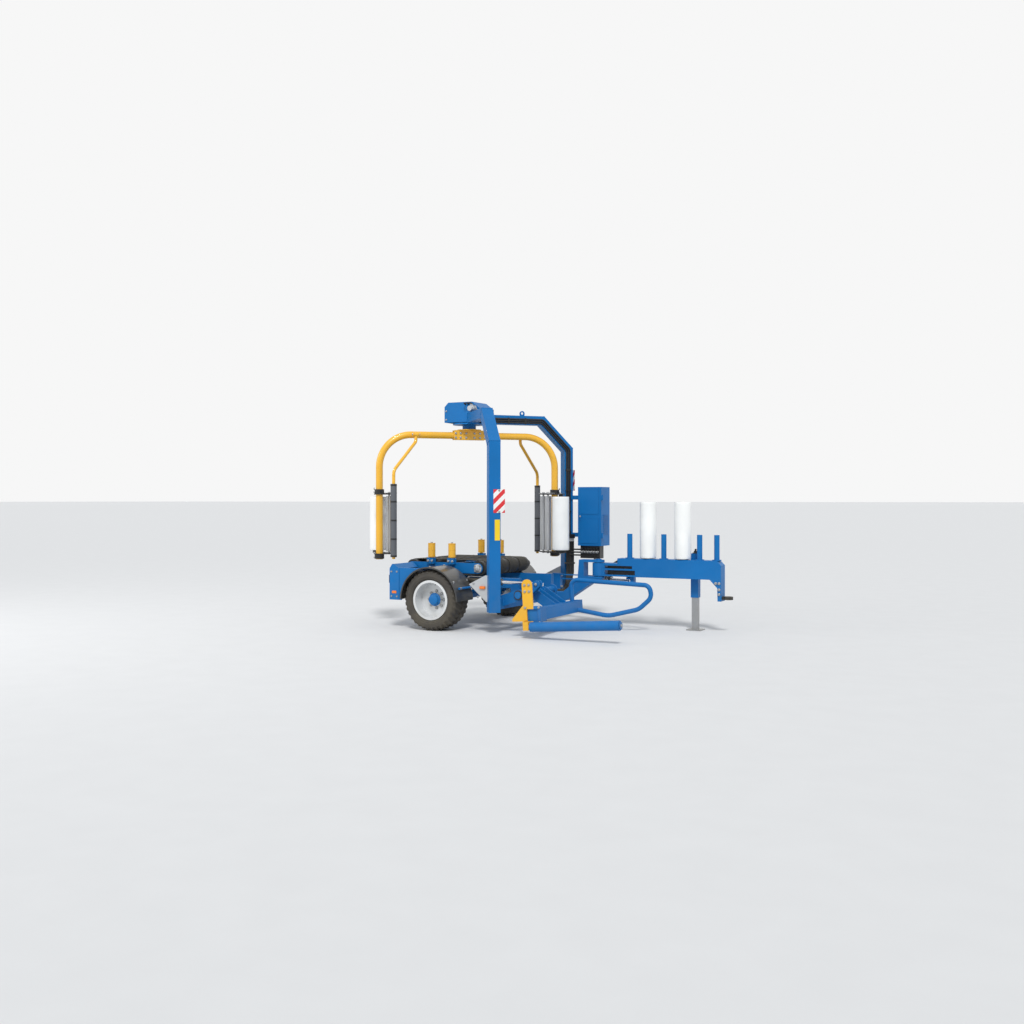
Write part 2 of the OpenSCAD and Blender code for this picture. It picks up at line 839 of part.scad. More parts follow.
plate_t = 12;
film_top_z = film_z + film_l;
dispenser_z = [film_z - 30 - plate_t, film_top_z + 30];
module dispensers() {
    color(black) in_frame()
        for (turn = [0, 180])
            on_rotor(turn) {
                for (z = dispenser_z)
                    translate([0, 0, z])
                        linear_extrude(plate_t)
                            difference() {
                                union() {
                                    link_2d([arm_reach, 0], stretch_places[1], 60);
                                    link_2d(stretch_places[1], stretch_places[0], 60);
                                    link_2d(stretch_places[0], roll_place, 60);
                                    translate([arm_reach, 0])
                                        circle(arm_tube_r + 22);
                                }
                                translate([arm_reach, 0])
                                    circle(arm_tube_r + seat);
                            }
                // clamp collars round the drop tube
                for (z = [dispenser_z[0] - 60, dispenser_z[1] + plate_t])
                    translate([arm_reach, 0, z])
                        difference() {
                            cylinder(r = arm_tube_r + 18, h = 60);
                            translate([0, 0, -1])
                                cylinder(r = arm_tube_r + seat, h = 62);
                        }
                // spindle of the film roll and its foot disc
                translate([roll_place.x, roll_place.y, dispenser_z[0]]) {
                    cylinder(r = spindle_r, h = dispenser_z[1] - dispenser_z[0] + plate_t);
                    cylinder(r = 75, h = plate_t + 30 - seat);
                }
            }
}

module stretch_rollers() {
    color(steel) in_frame()
        for (turn = [0, 180], p = stretch_places)
            on_rotor(turn)
                translate([p.x, p.y, dispenser_z[0] + plate_t])
                    union() {
                        cylinder(r = 14, h = dispenser_z[1] - dispenser_z[0] - plate_t);
                        translate([0, 0, 20])
                            cylinder(r = stretch_d / 2,
                                h = dispenser_z[1] - dispenser_z[0] - plate_t - 40);
                    }
}

core_t = 8;
module film_roll(turn) {
    color(film_white) in_frame()
        on_rotor(turn)
            translate([roll_place.x, roll_place.y, film_z])
                difference() {
                    cylinder(r = film_d / 2, h = film_l);
                    translate([0, 0, -1])
                        cylinder(r = spindle_r + fit, h = film_l + 2);
                }
}

// trip bar ahead of each arm, hinged on the level tube: it slopes down and
// outwards, then drops upright inside its padded sleeve
trip_hinge = [arm_reach - 490, 100, arm_z];
trip_foot = [arm_reach - 110, 450, trip_top_z];
trip_r = 22;
trip_pin_r = 16;
trip_drop = 70;
trip_bend = 60;
trip_low_bend = 120;
trip_out = norm([trip_foot.x - trip_hinge.x, trip_foot.y - trip_hinge.y]);
// slope of the bar from level, found in a few steps from the two bends' sizes
function trip_next(slope) = atan2(arm_z - trip_top_z - trip_drop - (trip_bend + trip_low_bend) * cos(slope),
    trip_out - (trip_bend + trip_low_bend) * (1 - sin(slope)));
trip_slope = trip_next(trip_next(trip_next(trip_next(trip_next(trip_next(40))))));
trip_run = (trip_out - (trip_bend + trip_low_bend) * (1 - sin(trip_slope))) / cos(trip_slope);
module trip_bar(turn) {
    color(yellow) in_frame()
        on_rotor(turn)
            difference() {
                union() {
                    translate(trip_hinge)
                        rotate([90, 0, atan2(trip_foot.y - trip_hinge.y, trip_foot.x - trip_hinge.x)])
                            rotate(-90)
                                bent_tube([[trip_drop, 90 - trip_slope, trip_bend],
                                    [trip_run, trip_slope - 90, trip_low_bend],
                                    [trip_top_z - trip_low_z + 25, 0, 0]], trip_r);
                    translate(trip_hinge)
                        rotate([0, 90, 0])
                            cylinder(r = 34, h = trip_knuckle_w, center = true);
                }
                translate(trip_hinge)
                    rotate([0, 90, 0])
                        cylinder(r = trip_pin_r + fit, h = trip_knuckle_w + 2, center = true);
            }
}

module trip_sleeve(turn) {
    color([0.45, 0.46, 0.48]) in_frame()
        on_rotor(turn)
            translate([trip_foot.x, trip_foot.y, trip_low_z])
                difference() {
                    cylinder(r = trip_sleeve_r, h = trip_top_z - trip_low_z - 120);
                    translate([0, 0, -1])
                        cylinder(r = trip_r + seat, h = trip_top_z - trip_low_z);
                }
}

// Table

roller_x = [rotor_x + roller_gap / 2, rotor_x - roller_gap / 2];
frame_y = roller_l / 2 + 15;
frame_t = 12;
shaft_r = 25;

module table_frame() {
    color(blue) in_frame() {
        for (side = [-1, 1]) {
            side_plate(side * (frame_y + frame_t / 2), frame_t)
                difference() {
                    union() {
                        link_2d([roller_x[1], roller_z], [roller_x[0], roller_z], 70);
                        link_2d([roller_x[1], roller_z], [tilt_x, tilt_z], 60);
                    }
                    for (x = roller_x)
                        translate([x, roller_z])
                            circle(shaft_r + fit);
                }
            // pads that carry the guide rollers
            for (x = guide_x)
                translate([x - 50, side > 0 ? frame_y : -frame_y - 75, roller_z + 50])
                    cube([100, 75, guide_z - roller_z - 50]);
        }
        translate([tilt_x, 0, tilt_z])
            rotate([90, 0, 0])
                cylinder(r = tilt_bar_r, h = 2 * (frame_y + frame_t), center = true);
        // cross box inside the belts
        translate([rotor_x - 60, -frame_y - 1, roller_z - 45])
            cube([120, 2 * frame_y + 2, 90]);
        // bracket between the two middle belts for the tilt cylinder
        for (side = [-1, 1])
            side_plate(side * (lever_gap / 2 + loader_t / 2), loader_t)
                link_2d([tilt_eye_at.x, tilt_eye_at.z], [rotor_x, roller_z], 42);
        pin_ends(tilt_eye_at);
    }
}

module table_rollers() {
    color(black) in_frame()
        for (x = roller_x)
            translate([x, 0, roller_z])
                rotate([90, 0, 0])
                    union() {
                        cylinder(r = roller_d / 2, h = roller_l, center = true);
                        cylinder(r = shaft_r, h = 2 * (frame_y + frame_t), center = true);
                    }
    // hydraulic motor on the left end of the front roller
    color(black) in_frame()
        translate([roller_x[0], frame_y + frame_t + seat, roller_z])
            rotate([-90, 0, 0]) {
                translate([0, 0, -seat - 1])
                    cylinder(r = shaft_r - 5, h = 10);
                cylinder(r = 62, h = 30);
                cylinder(r = 48, h = 110);
            }
}

belt_y = [-470, -165, 165, 470];
module table_belts() {
    inner = roller_d / 2 + seat;
    color(black) in_frame()
        for (y = belt_y)
            side_plate(y, belt_w)
                difference() {
                    link_2d([roller_x[1], roller_z], [roller_x[0], roller_z], inner + belt_t);
                    link_2d([roller_x[1], roller_z], [roller_x[0], roller_z], inner);
                }
}

guide_x = [rotor_x - 190, rotor_x + 130];
guide_z = roller_z + 130;
guide_y = frame_y + 30;
module guide_rollers() {
    color(yellow) in_frame()
        for (side = [-1, 1], x = guide_x)
            translate([x, side * guide_y, guide_z]) {
                cylinder(r = 22, h = 10);
                translate([0, 0, 10])
                    cylinder(r = guide_d / 2, h = guide_h);
            }
}

// Loader

// turns the lowered loader about its hinge to the parked height
module raised() {
    translate([lift_x, 0, lift_z])
        rotate([0, -lift_rest, 0])
            translate([-lift_x, 0, -lift_z])
                children();
}

box_x = 1450;
box_z = 190;
box_in_y = 110;
box_out_y = 1235;
hoop_y = 40;
// two ends of a pin, outside a pair of plates; between them the pivot is open
module pin_ends(p) {
    for (side = [-1, 1])
        translate([p.x, p.y + side * (lever_gap / 2 + loader_t), p.z])
            rotate([side * -90, 0, 0]) {
                translate([0, 0, -1])
                    cylinder(r = cyl_pin_r + 10, h = 7);
                cylinder(r = cyl_pin_r, h = 16);
            }
}

module loader_frame() {
    color(blue) in_frame() raised() {
        translate([lift_x, 0, lift_z])
            rotate([90, 0, 0])
                translate([0, 0, -90])
                    cylinder(r = lift_bar_r, h = 1090);
        translate([box_x, -box_out_y, box_z])
            cube([box_size, box_out_y + box_in_y, box_size]);
        // arms from the hinge bar down to the cross box
        for (y = [-560, -420, -240])
            side_plate(y, loader_t)
                link_2d([lift_x, lift_z], [box_x + box_size / 2, box_z + box_size / 2],
                    lift_bar_r + 20);
        // lever of the lift cylinder
        for (side = [-1, 1])
            side_plate(lift_cyl_y + side * (lever_gap / 2 + loader_t / 2), loader_t)
                link_2d([lift_x, lift_z],
                    [lift_x + lever_r * cos(lever_low), lift_z + lever_r * sin(lever_low)], 50);
        pin_ends([lift_x + lever_r * cos(lever_low), lift_cyl_y, lift_z + lever_r * sin(lever_low)]);
    }
}

hoop_start_z = 225;
hoop_slope = -12;
hoop_runs = [[380, 22, 400], [300, 28, 240], [110, 60, 120], [20, 76, 90], [942, 96, 90],
    [205, 0, 0]];
module loader_hoop() {
    color(blue) in_frame() raised()
        difference() {
            translate([box_x + box_size - 20, -hoop_y, hoop_start_z])
                rotate([90, 0, 0])
                    rotate(hoop_slope)
                        bent_tube(hoop_runs, hoop_d / 2);
            translate([box_x, -box_out_y, box_z])
                cube([box_size, box_out_y + box_in_y, box_size]);
        }
}

sleeve_t = 15;
sleeve_l = 190;
flange_w = 38;
upright_x = 1470;
upright_top_z = 640;
roller_rear_x = 1525;
roller_shaft_r = 28;
module loader_arm() {
    // carriage on the cross box, upright plate and the shaft of the outer roller
    inner = box_size + 2 * seat;
    outer = inner + 2 * sleeve_t;
    plate_y = -box_out_y - 5 - loader_t / 2;
    color(yellow) in_frame() raised() {
        difference() {
            union() {
                translate([box_x - seat - sleeve_t, -box_out_y - 6, box_z - seat - sleeve_t])
                    cube([outer, sleeve_l, outer]);
                side_plate(plate_y, loader_t)
                    union() {
                        link_2d([upright_x, box_z + 75], [upright_x, upright_top_z], 70);
                        polygon([[upright_x - 60, box_z + 210], [upright_x - 230, box_z + 30],
                            [upright_x - 230, box_z], [upright_x, box_z]]);
                        translate([box_x - flange_w, box_z - flange_w])
                            square([box_size + 2 * flange_w, box_size + 2 * flange_w]);
                    }
                translate([upright_x - 40, -outer_y - 35, outer_z - 40])
                    cube([75, outer_y + 35 + plate_y + loader_t / 2, 120]);
            }
            // the way of the box, right through the plate
            translate([box_x - seat, -outer_y - 100, box_z - seat])
                cube([inner, outer_y + 100 - box_out_y + sleeve_l + 2, inner]);
        }
        translate([upright_x, -outer_y, outer_z])
            rotate([0, 90, 0]) {
                cylinder(r = roller_shaft_r, h = roller_rear_x - upright_x + outer_l + 8);
                translate([0, 0, roller_rear_x - upright_x + outer_l + 3])
                    cylinder(r = 45, h = 10);
            }
    }
}

module outer_roller() {
    color(blue) in_frame() raised()
        translate([roller_rear_x, -outer_y, outer_z])
            rotate([0, 90, 0])
                difference() {
                    cylinder(r = outer_d / 2, h = outer_l);
                    translate([0, 0, -1])
                        cylinder(r = roller_shaft_r + fit, h = outer_l + 2);
                }
}

// Drawbar

knuckle_r = 85;
// where the low rear part of the drawbar ends, and its two rows of slots
bar_step_x = swing_x + 300;
slot_end_x = swing_x + 545;
module drawbar() {
    color(blue) in_frame() {
        difference() {
            union() {
                translate([swing_x, swing_y, bar_z])
                    cylinder(r = knuckle_r, h = knuckle_h);
                // level box, then the nose that drops to the eye
                translate([0, bar_y + bar_w / 2, 0])
                    rotate([90, 0, 0])
                        linear_extrude(bar_w)
                            polygon([[swing_x + 20, bar_z], [bar_front_x - 150, bar_z],
                                [bar_front_x - 50, bar_z - 105], [bar_front_x - 45, eye_z - 40],
                                [bar_front_x, eye_z - 40], [bar_front_x, bar_z + bar_h - 60],
                                [bar_front_x - 60, bar_z + bar_h], [bar_step_x, bar_z + bar_h],
                                [bar_step_x, bar_z + knuckle_h], [swing_x + 20, bar_z + knuckle_h]]);
            }
            translate([swing_x + 110, bar_y - bar_w, bar_z + 22])
                cube([slot_end_x - swing_x - 110, 2 * bar_w, 62]);
            translate([swing_x + 110, bar_y - bar_w, bar_z + 106])
                cube([slot_end_x - swing_x - 150, 2 * bar_w, 38]);
            translate([swing_x, swing_y, bar_z - 1])
                cylinder(r = swing_pin_r + fit, h = knuckle_h + 2);
        }
        film_pegs();
        // plates that hold the swing cylinder's rod
        for (side = [-1, 1])
            translate([0, 0, swing_cyl_z + side * (lever_gap / 2 + loader_t / 2) - loader_t / 2])
                linear_extrude(loader_t)
                    difference() {
                        link_2d([swing_eye_at.x, swing_eye_at.y], [swing_eye_at.x + 40, bar_y], 50);
                        translate([swing_eye_at.x, swing_eye_at.y])
                            circle(cyl_pin_r + eye_play);
                    }
        translate([swing_eye_at.x + 60, bar_y - 40, swing_cyl_z - 60])
            cube([50, 80, bar_z - swing_cyl_z + 61]);
        // tube of the parking jack
        translate([jack_x, jack_y, 0])
            difference() {
                translate([-50, -50, jack_low_z])
                    cube([100, 100, jack_top_z - jack_low_z]);
                translate([-40 - fit, -40 - fit, jack_low_z - 1])
                    cube([80 + 2 * fit, 80 + 2 * fit, jack_top_z - jack_low_z - 9]);
            }
    }
}

jack_y = bar_y + bar_w / 2 + 50;
jack_low_z = 430;
jack_top_z = 1010;
jack_travel = 300;
module jack_leg() {
    color(steel) in_frame()
        translate([jack_x, jack_y, 0]) {
            translate([-jack_foot / 2, -jack_foot / 2, 0])
                cube([jack_foot, jack_foot, 12]);
            translate([-40, -40, 12])
                cube([80, 80, jack_top_z - 20 - jack_travel - 12]);
        }
}

module tow_eye() {
    color(black) in_frame()
        difference() {
            union() {
                translate([eye_x, bar_y, eye_z])
                    cylinder(r = eye_r, h = 40, center = true);
                translate([bar_front_x, bar_y - 45, eye_z - 20])
                    cube([eye_x - bar_front_x, 90, 40]);
            }
            translate([eye_x, bar_y, eye_z])
                cylinder(r = eye_hole_r, h = 42, center = true);
        }
}

peg_x = [2190, 2450, 2670, 2930, 3160, 3390];
bar_top_z = bar_z + bar_h;
module film_pegs() {
    for (x = peg_x)
        translate([x, bar_y, bar_top_z - 1]) {
            cylinder(r = peg_r + 25, h = 11);
            cylinder(r = peg_r, h = peg_h + 1);
        }
}

module spare_rolls() {
    color(film_white) in_frame()
        for (i = [1, 3])
            translate([peg_x[i], bar_y, bar_top_z + 10])
                difference() {
                    cylinder(r = spare_d / 2, h = film_l);
                    translate([0, 0, -1])
                        cylinder(r = peg_r + 2, h = film_l + 2);
                }
}

// Panels, lamps and cabinet

panel_t = 6;
panel_rear_x = rear_beam_x - 2 * panel_t;
panel_in_y = 700;
panel_out_y = 1180;
panel_low_z = 385;
panel_top_z = 860;
panel_len = 150;
panel_slope = 60;
module rear_panels() {
    // folded blue panels that close each rear corner behind the wheel
    color(blue) in_frame()
        for (side = [-1, 1])
            mirror([0, side < 0 ? 1 : 0, 0])
                difference() {
                    translate([0, panel_out_y, 0])
                        rotate([90, 0, 0])
                            linear_extrude(panel_out_y - panel_in_y)
                                polygon([[panel_rear_x, panel_low_z],
                                    [panel_rear_x + panel_len, panel_low_z],
                                    [panel_rear_x + panel_len, panel_top_z - 60],
                                    [panel_rear_x + 70, panel_top_z], [panel_rear_x + 40, panel_top_z],
                                    [panel_rear_x, panel_top_z - panel_slope]]);
                    translate([0, panel_out_y - panel_t, 0])
                        rotate([90, 0, 0])
                            linear_extrude(panel_out_y - panel_in_y)
                                polygon([[panel_rear_x + 2 * panel_t, panel_low_z - 1],
                                    [panel_rear_x + panel_len + 1, panel_low_z - 1],
                                    [panel_rear_x + panel_len + 1, panel_top_z - 68],
                                    [panel_rear_x + 70, panel_top_z - panel_t],
                                    [panel_rear_x + 46, panel_top_z - panel_t],
                                    [panel_rear_x + 2 * panel_t, panel_top_z - panel_slope]]);
                }
}

module rear_lamps() {
    color([0.7, 0.05, 0.04]) in_frame()
        for (side = [-1, 1])
            translate([panel_rear_x - 42 - seat, side * 1020 - 90, panel_low_z + 225])
                cube([42, 180, 90]);
}

module marker_plates() {
    // light gusset plates behind the legs, cut to the leg
    color([0.75, 0.76, 0.78]) in_frame()
        difference() {
            for (side = [-1, 1])
                side_plate(side * (leg_y + 20), 8)
                    polygon([[leg_x - 350, 630], [leg_x - 110, 750], [leg_x, 750], [leg_x, 410],
                        [leg_x - 100, 410]]);
            leg_space(400, 360);
        }
}

module hazard_plates() {
    // plates on the outer face of each leg, set forwards of its middle
    color([0.9, 0.9, 0.9]) in_frame()
        for (place = [[-1, 1550], [1, 1850]])
            translate([rotor_x, 0, place[1]])
                rotate(place[0] * leg_turn)
                    translate([leg_reach + leg_depth / 2 + seat, -place[0] * 56 - 75, 0])
                        cube([4, 150, 300]);
}

cabinet_x = 1180;
module cabinet_box() {
    color(blue) in_frame() {
        difference() {
            translate([cabinet_x, cabinet_y(), cabinet_z])
                cube([cabinet_w, cabinet_d, cabinet_h]);
            translate([cabinet_x + cabinet_t, cabinet_y() - 1, cabinet_z + cabinet_t])
                cube([cabinet_w - 2 * cabinet_t, cabinet_d - cabinet_t + 1, cabinet_h - 2 * cabinet_t]);
        }
        // brackets back to the leg
        difference() {
            for (z = [cabinet_z + 120, cabinet_z + cabinet_h - 180])
                translate([leg_x, leg_y - 30, z])
                    cube([cabinet_x - leg_x, 60, 60]);
            leg_space(cabinet_z, cabinet_h);
        }
        // lugs and pins of the door's hinges
        for (z = hinge_at) {
            translate([0, 0, z - 10])
                linear_extrude(10) {
                    link_2d([hinge_x(), hinge_y()], [hinge_x(), cabinet_y() + 28], 12);
                    translate([cabinet_x + cabinet_w, cabinet_y() + 4])
                        square([hinge_x() - cabinet_x - cabinet_w, 35]);
                }
            translate([hinge_x(), hinge_y(), z - 10])
                cylinder(r = 7, h = 80);
        }
    }
}

door_gap = 2;
hinge_at = [cabinet_z + 120, cabinet_z + cabinet_h - 180];
function hinge_x() = cabinet_x + cabinet_w + 14;
function hinge_y() = cabinet_y() - door_gap - cabinet_t / 2;
module cabinet_door() {
    color(blue) in_frame() {
        difference() {
            union() {
                translate([cabinet_x, cabinet_y() - door_gap - cabinet_t, cabinet_z])
                    cube([cabinet_w, cabinet_t, cabinet_h]);
                for (z = hinge_at)
                    translate([hinge_x(), hinge_y(), z + seat]) {
                        cylinder(r = 13, h = 60);
                        translate([-20, -cabinet_t / 2, 0])
                            cube([20, cabinet_t, 60]);
                    }
            }
            for (z = hinge_at)
                translate([hinge_x(), hinge_y(), z - 1])
                    cylinder(r = 7 + fit, h = 80);
        }
        // turn handle
        translate([cabinet_x + 30, cabinet_y() - door_gap - cabinet_t - 14, cabinet_z + cabinet_h / 2 - 50])
            cube([22, 15, 100]);
    }
}

module valve_block() {
    color(black) in_frame()
        translate([cabinet_x + 20, cabinet_y() + 30, cabinet_z - 180])
            cube([300, 140, 180]);
}

chassis_frame();
frame_brackets();
arch_frame();
arch_hoses();
gearbox_cover();
gearbox_motor();
color(black) in_frame() { mudguard(-1); mudguard(1); }  // mudguards
rear_panels();
rear_lamps();
marker_plates();
hazard_plates();
cabinet_box();
valve_block();
color(black) in_frame() tyre(-1);  // tyre_right
color(steel) in_frame() rim(-1);  // rim_right
color(black) in_frame() tyre(1);  // tyre_left
color(steel) in_frame() rim(1);  // rim_left
rotor_arms();
dispensers();
stretch_rollers();
film_roll(0);  // film_roll_front
film_roll(180);  // film_roll_rear
trip_bar(0);  // trip_bar_front
trip_bar(180);  // trip_bar_rear
trip_sleeve(0);  // trip_sleeve_front
trip_sleeve(180);  // trip_sleeve_rear
table_frame();
table_rollers();
table_belts();
guide_rollers();
tilt_barrel();
tilt_rod();
loader_frame();
loader_hoop();
loader_arm();
outer_roller();
lift_barrel();
lift_rod();
drawbar();
tow_eye();
spare_rolls();
jack_leg();
swing_barrel();
swing_rod();
cabinet_door();
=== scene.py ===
"""Looks of the trailed bale wrapper: paint, rubber, film, hoses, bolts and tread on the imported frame."""
import math

import bmesh
import bpy
from mathutils import Matrix, Vector


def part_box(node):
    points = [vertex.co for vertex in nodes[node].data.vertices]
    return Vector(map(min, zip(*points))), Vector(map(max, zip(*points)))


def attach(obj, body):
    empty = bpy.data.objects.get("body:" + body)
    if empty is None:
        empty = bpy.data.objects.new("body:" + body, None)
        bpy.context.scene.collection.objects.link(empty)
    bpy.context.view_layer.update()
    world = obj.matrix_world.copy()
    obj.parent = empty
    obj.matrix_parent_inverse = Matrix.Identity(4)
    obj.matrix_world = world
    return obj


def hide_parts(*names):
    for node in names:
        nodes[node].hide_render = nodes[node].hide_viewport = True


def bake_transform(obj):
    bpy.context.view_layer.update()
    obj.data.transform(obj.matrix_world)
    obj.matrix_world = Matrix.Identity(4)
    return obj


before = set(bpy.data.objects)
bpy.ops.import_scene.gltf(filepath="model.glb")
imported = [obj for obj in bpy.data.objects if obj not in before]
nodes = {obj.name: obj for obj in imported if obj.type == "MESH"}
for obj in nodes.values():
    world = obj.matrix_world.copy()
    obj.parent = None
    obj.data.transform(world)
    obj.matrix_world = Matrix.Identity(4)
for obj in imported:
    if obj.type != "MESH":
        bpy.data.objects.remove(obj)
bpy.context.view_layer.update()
link = bpy.context.scene.collection.objects.link

# ---- Studio ----
# A pale floor, a pale sky all round and two soft lamps; the camera stands about 14 m off and 1.7 m
# up. Camera, gloss and glass rays see a plain pale backdrop in place of the sky.

camera = bpy.data.objects.new("camera", bpy.data.cameras.new("camera"))
camera.location = (6.309, -13.055, 1.714)
camera.rotation_euler = (math.radians(90), 0, math.radians(27.5))
camera.data.lens = 37.62
camera.data.sensor_width = 36.0
camera.data.shift_y = -0.0117
camera.data.clip_end = 2000.0
link(camera)
bpy.context.scene.camera = camera
bpy.context.scene.view_settings.view_transform = "Standard"


def linear(code):
    """The linear colour of a six-digit sRGB code."""
    parts = [int(code[i:i + 2], 16) / 255 for i in (0, 2, 4)]
    return tuple(p / 12.92 if p < 0.04045 else ((p + 0.055) / 1.055) ** 2.4 for p in parts) + (1.0,)


def feed(node, values):
    """Fills a node's inputs, each with a plain value or with a link to (another node, its output)."""
    for key, value in values.items():
        if isinstance(value, tuple) and isinstance(value[0], bpy.types.Node):
            node.id_data.links.new(value[0].outputs[value[1]], node.inputs[key])
        else:
            node.inputs[key].default_value = value
    return node


def add(tree, kind, values=(), **settings):
    """A node of a tree, with its settings and its inputs."""
    node = tree.nodes.new(kind)
    for key, value in settings.items():
        setattr(node, key, value)
    return feed(node, dict(values))


def maths(tree, operation, *values, **settings):
    """What a Math node makes of values or links."""
    return add(tree, "ShaderNodeMath", dict(enumerate(values)), operation=operation, **settings), 0


def ranged(tree, value, low, high, to_low=0.0, to_high=1.0):
    """A linked value moved from one range to another."""
    return add(tree, "ShaderNodeMapRange", {"Value": value, "From Min": low, "From Max": high,
                                            "To Min": to_low, "To Max": to_high}), "Result"


world = bpy.data.worlds.new("studio")
bpy.context.scene.world = world
world.use_nodes = True
air = world.node_tree
sky = feed(air.nodes["Background"], {"Color": (0.92, 0.96, 1.0, 1), "Strength": 0.59})
backdrop = add(air, "ShaderNodeBackground", {"Color": (0.93, 0.93, 0.93, 1)})
ray = add(air, "ShaderNodeLightPath")
shown = maths(air, "MAXIMUM", (ray, "Is Camera Ray"),
              maths(air, "MAXIMUM", (ray, "Is Glossy Ray"), (ray, "Is Transmission Ray")))
pick = add(air, "ShaderNodeMixShader", {0: shown, 1: (sky, 0), 2: (backdrop, 0)})
feed(air.nodes["World Output"], {"Surface": (pick, 0)})

floor_half = 900
floor_mesh = bpy.data.meshes.new("floor")
floor_mesh.from_pydata([(x * floor_half, y * floor_half, 0) for x, y in ((-1, -1), (1, -1), (1, 1), (-1, 1))],
                       [], [(0, 1, 2, 3)])
floor = bpy.data.objects.new("floor", floor_mesh)
floor.location.z = -0.001
link(floor)
concrete = bpy.data.materials.new("floor")
concrete.use_nodes = True
ground = concrete.node_tree
speckle = add(ground, "ShaderNodeTexNoise", {"Vector": (add(ground, "ShaderNodeTexCoord"), "Object"),
                                             "Scale": 3.0, "Detail": 6.0})
feed(ground.nodes["Principled BSDF"],
     {"Base Color": ranged(ground, (speckle, "Fac"), 0.0, 1.0, 0.70, 0.74), "Roughness": 0.9})
floor_mesh.materials.append(concrete)


def lamp(name, kind, place, target, energy, size):
    """A soft lamp that points at a place."""
    data = bpy.data.lights.new(name, kind)
    data.energy = energy
    setattr(data, "size" if kind == "AREA" else "angle", size)
    o = bpy.data.objects.new(name, data)
    o.location = place
    o.rotation_euler = (Vector(target) - Vector(place)).to_track_quat("-Z", "Y").to_euler()
    link(o)


lamp("sun", "SUN", (5, -9, 12), (0, 0, 1), 2.0, math.radians(12))
lamp("side", "AREA", (-9, -8, 6), (0, 0, 1.2), 230, 5.0)

# ---- Chassis ----
# The real chassis is welded from rectangular steel tube and sprayed gloss blue. The cylinders' forks
# and the mudguards' rods are bolted and clamped to it, and its axle stubs are flanged on.

right_tyre, left_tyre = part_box("tyre_right"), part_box("tyre_left")
axle_x = (right_tyre[0].x + right_tyre[1].x) / 2
axle_y = (right_tyre[0].y + left_tyre[1].y) / 2
axle_z = 400
sides = (-1, 1)     # the right of the machine, then the left
up = (0, 0, 1)


def at(x, y, z):
    """A place in millimetres from the ground under the middle of the axle, in the frame's metres."""
    return Vector((axle_x + x / 1000, axle_y + y / 1000, z / 1000))


def around(x, y, z, radius, degrees):
    """A place on an upright circle about a cross axis, by its angle from straight ahead."""
    a = math.radians(degrees)
    return at(x + radius * math.cos(a), y, z + radius * math.sin(a))


def shader_group(name, inputs, outputs):
    """An empty shader group with named sockets, and its two end nodes."""
    g = bpy.data.node_groups.new(name, "ShaderNodeTree")
    for way, sockets in (("INPUT", inputs), ("OUTPUT", outputs)):
        for label, kind in sockets:
            g.interface.new_socket(name=label, in_out=way, socket_type="NodeSocket" + kind)
    return g, g.nodes.new("NodeGroupInput"), g.nodes.new("NodeGroupOutput")


# used surface: a drifting tone, paint worn off along edges, and dust that is thicker low down and
# on faces that look up
used, ui, uo = shader_group(
    "used_surface",
    [("Vector", "Vector"), ("Colour", "Color"), ("Worn", "Color"), ("Dust", "Color"),
     ("Dust Top", "Float"), ("Dust Amount", "Float"), ("Wear", "Float"), ("Edge", "Float"),
     ("Roughness", "Float"), ("Grain", "Float"), ("Grain Depth", "Float")],
    [("Colour", "Color"), ("Roughness", "Float"), ("Normal", "Vector")])
place, normal = (ui, "Vector"), (add(used, "ShaderNodeNewGeometry"), "Normal")
drift = add(used, "ShaderNodeTexNoise", {"Vector": place, "Scale": 1.7, "Detail": 5.0})
tone = ranged(used, (drift, "Fac"), 0.3, 0.7, 0.9, 1.07)
toned = add(used, "ShaderNodeVectorMath", {0: (ui, "Colour"), "Scale": tone}, operation="SCALE")
rounded = add(used, "ShaderNodeBevel", {"Radius": (ui, "Edge")}, samples=4)
turn_away = add(used, "ShaderNodeVectorMath", {0: (rounded, 0), 1: normal}, operation="DOT_PRODUCT")
chips = add(used, "ShaderNodeTexNoise", {"Vector": place, "Scale": 34.0, "Detail": 5.0})
worn_edge = maths(used, "MULTIPLY", ranged(used, (turn_away, "Value"), 0.975, 0.84),
                  ranged(used, (chips, "Fac"), 0.47, 0.6))
worn_mix = add(used, "ShaderNodeMix", {0: maths(used, "MULTIPLY", worn_edge, (ui, "Wear")),
                                       "A": (toned, 0), "B": (ui, "Worn")}, data_type="RGBA")
height = add(used, "ShaderNodeSeparateXYZ", {0: place})
facing = add(used, "ShaderNodeSeparateXYZ", {0: normal})
low_or_up = maths(used, "ADD", ranged(used, (height, "Z"), 0.0, (ui, "Dust Top"), 1.0, 0.04),
                  ranged(used, (facing, "Z"), 0.5, 1.0, 0.0, 0.3))
cloud = add(used, "ShaderNodeTexNoise", {"Vector": place, "Scale": 6.5, "Detail": 8.0, "Roughness": 0.65})
dusty = maths(used, "MULTIPLY", low_or_up, ranged(used, (cloud, "Fac"), 0.36, 0.7, 0.12, 1.0))
dust_mask = maths(used, "MULTIPLY", dusty, (ui, "Dust Amount"), use_clamp=True)
dust_mix = add(used, "ShaderNodeMix", {0: dust_mask, "A": (worn_mix, "Result"), "B": (ui, "Dust")},
               data_type="RGBA")
grain = add(used, "ShaderNodeTexNoise", {"Vector": place, "Scale": (ui, "Grain"), "Detail": 3.0})
bump = add(used, "ShaderNodeBump", {"Strength": 0.6, "Distance": (ui, "Grain Depth"),
                                    "Height": (grain, "Fac"), "Normal": (rounded, 0)})
feed(uo, {"Colour": (dust_mix, "Result"), "Normal": (bump, 0),
          "Roughness": maths(used, "MULTIPLY_ADD", dust_mask, 0.4, (ui, "Roughness"))})


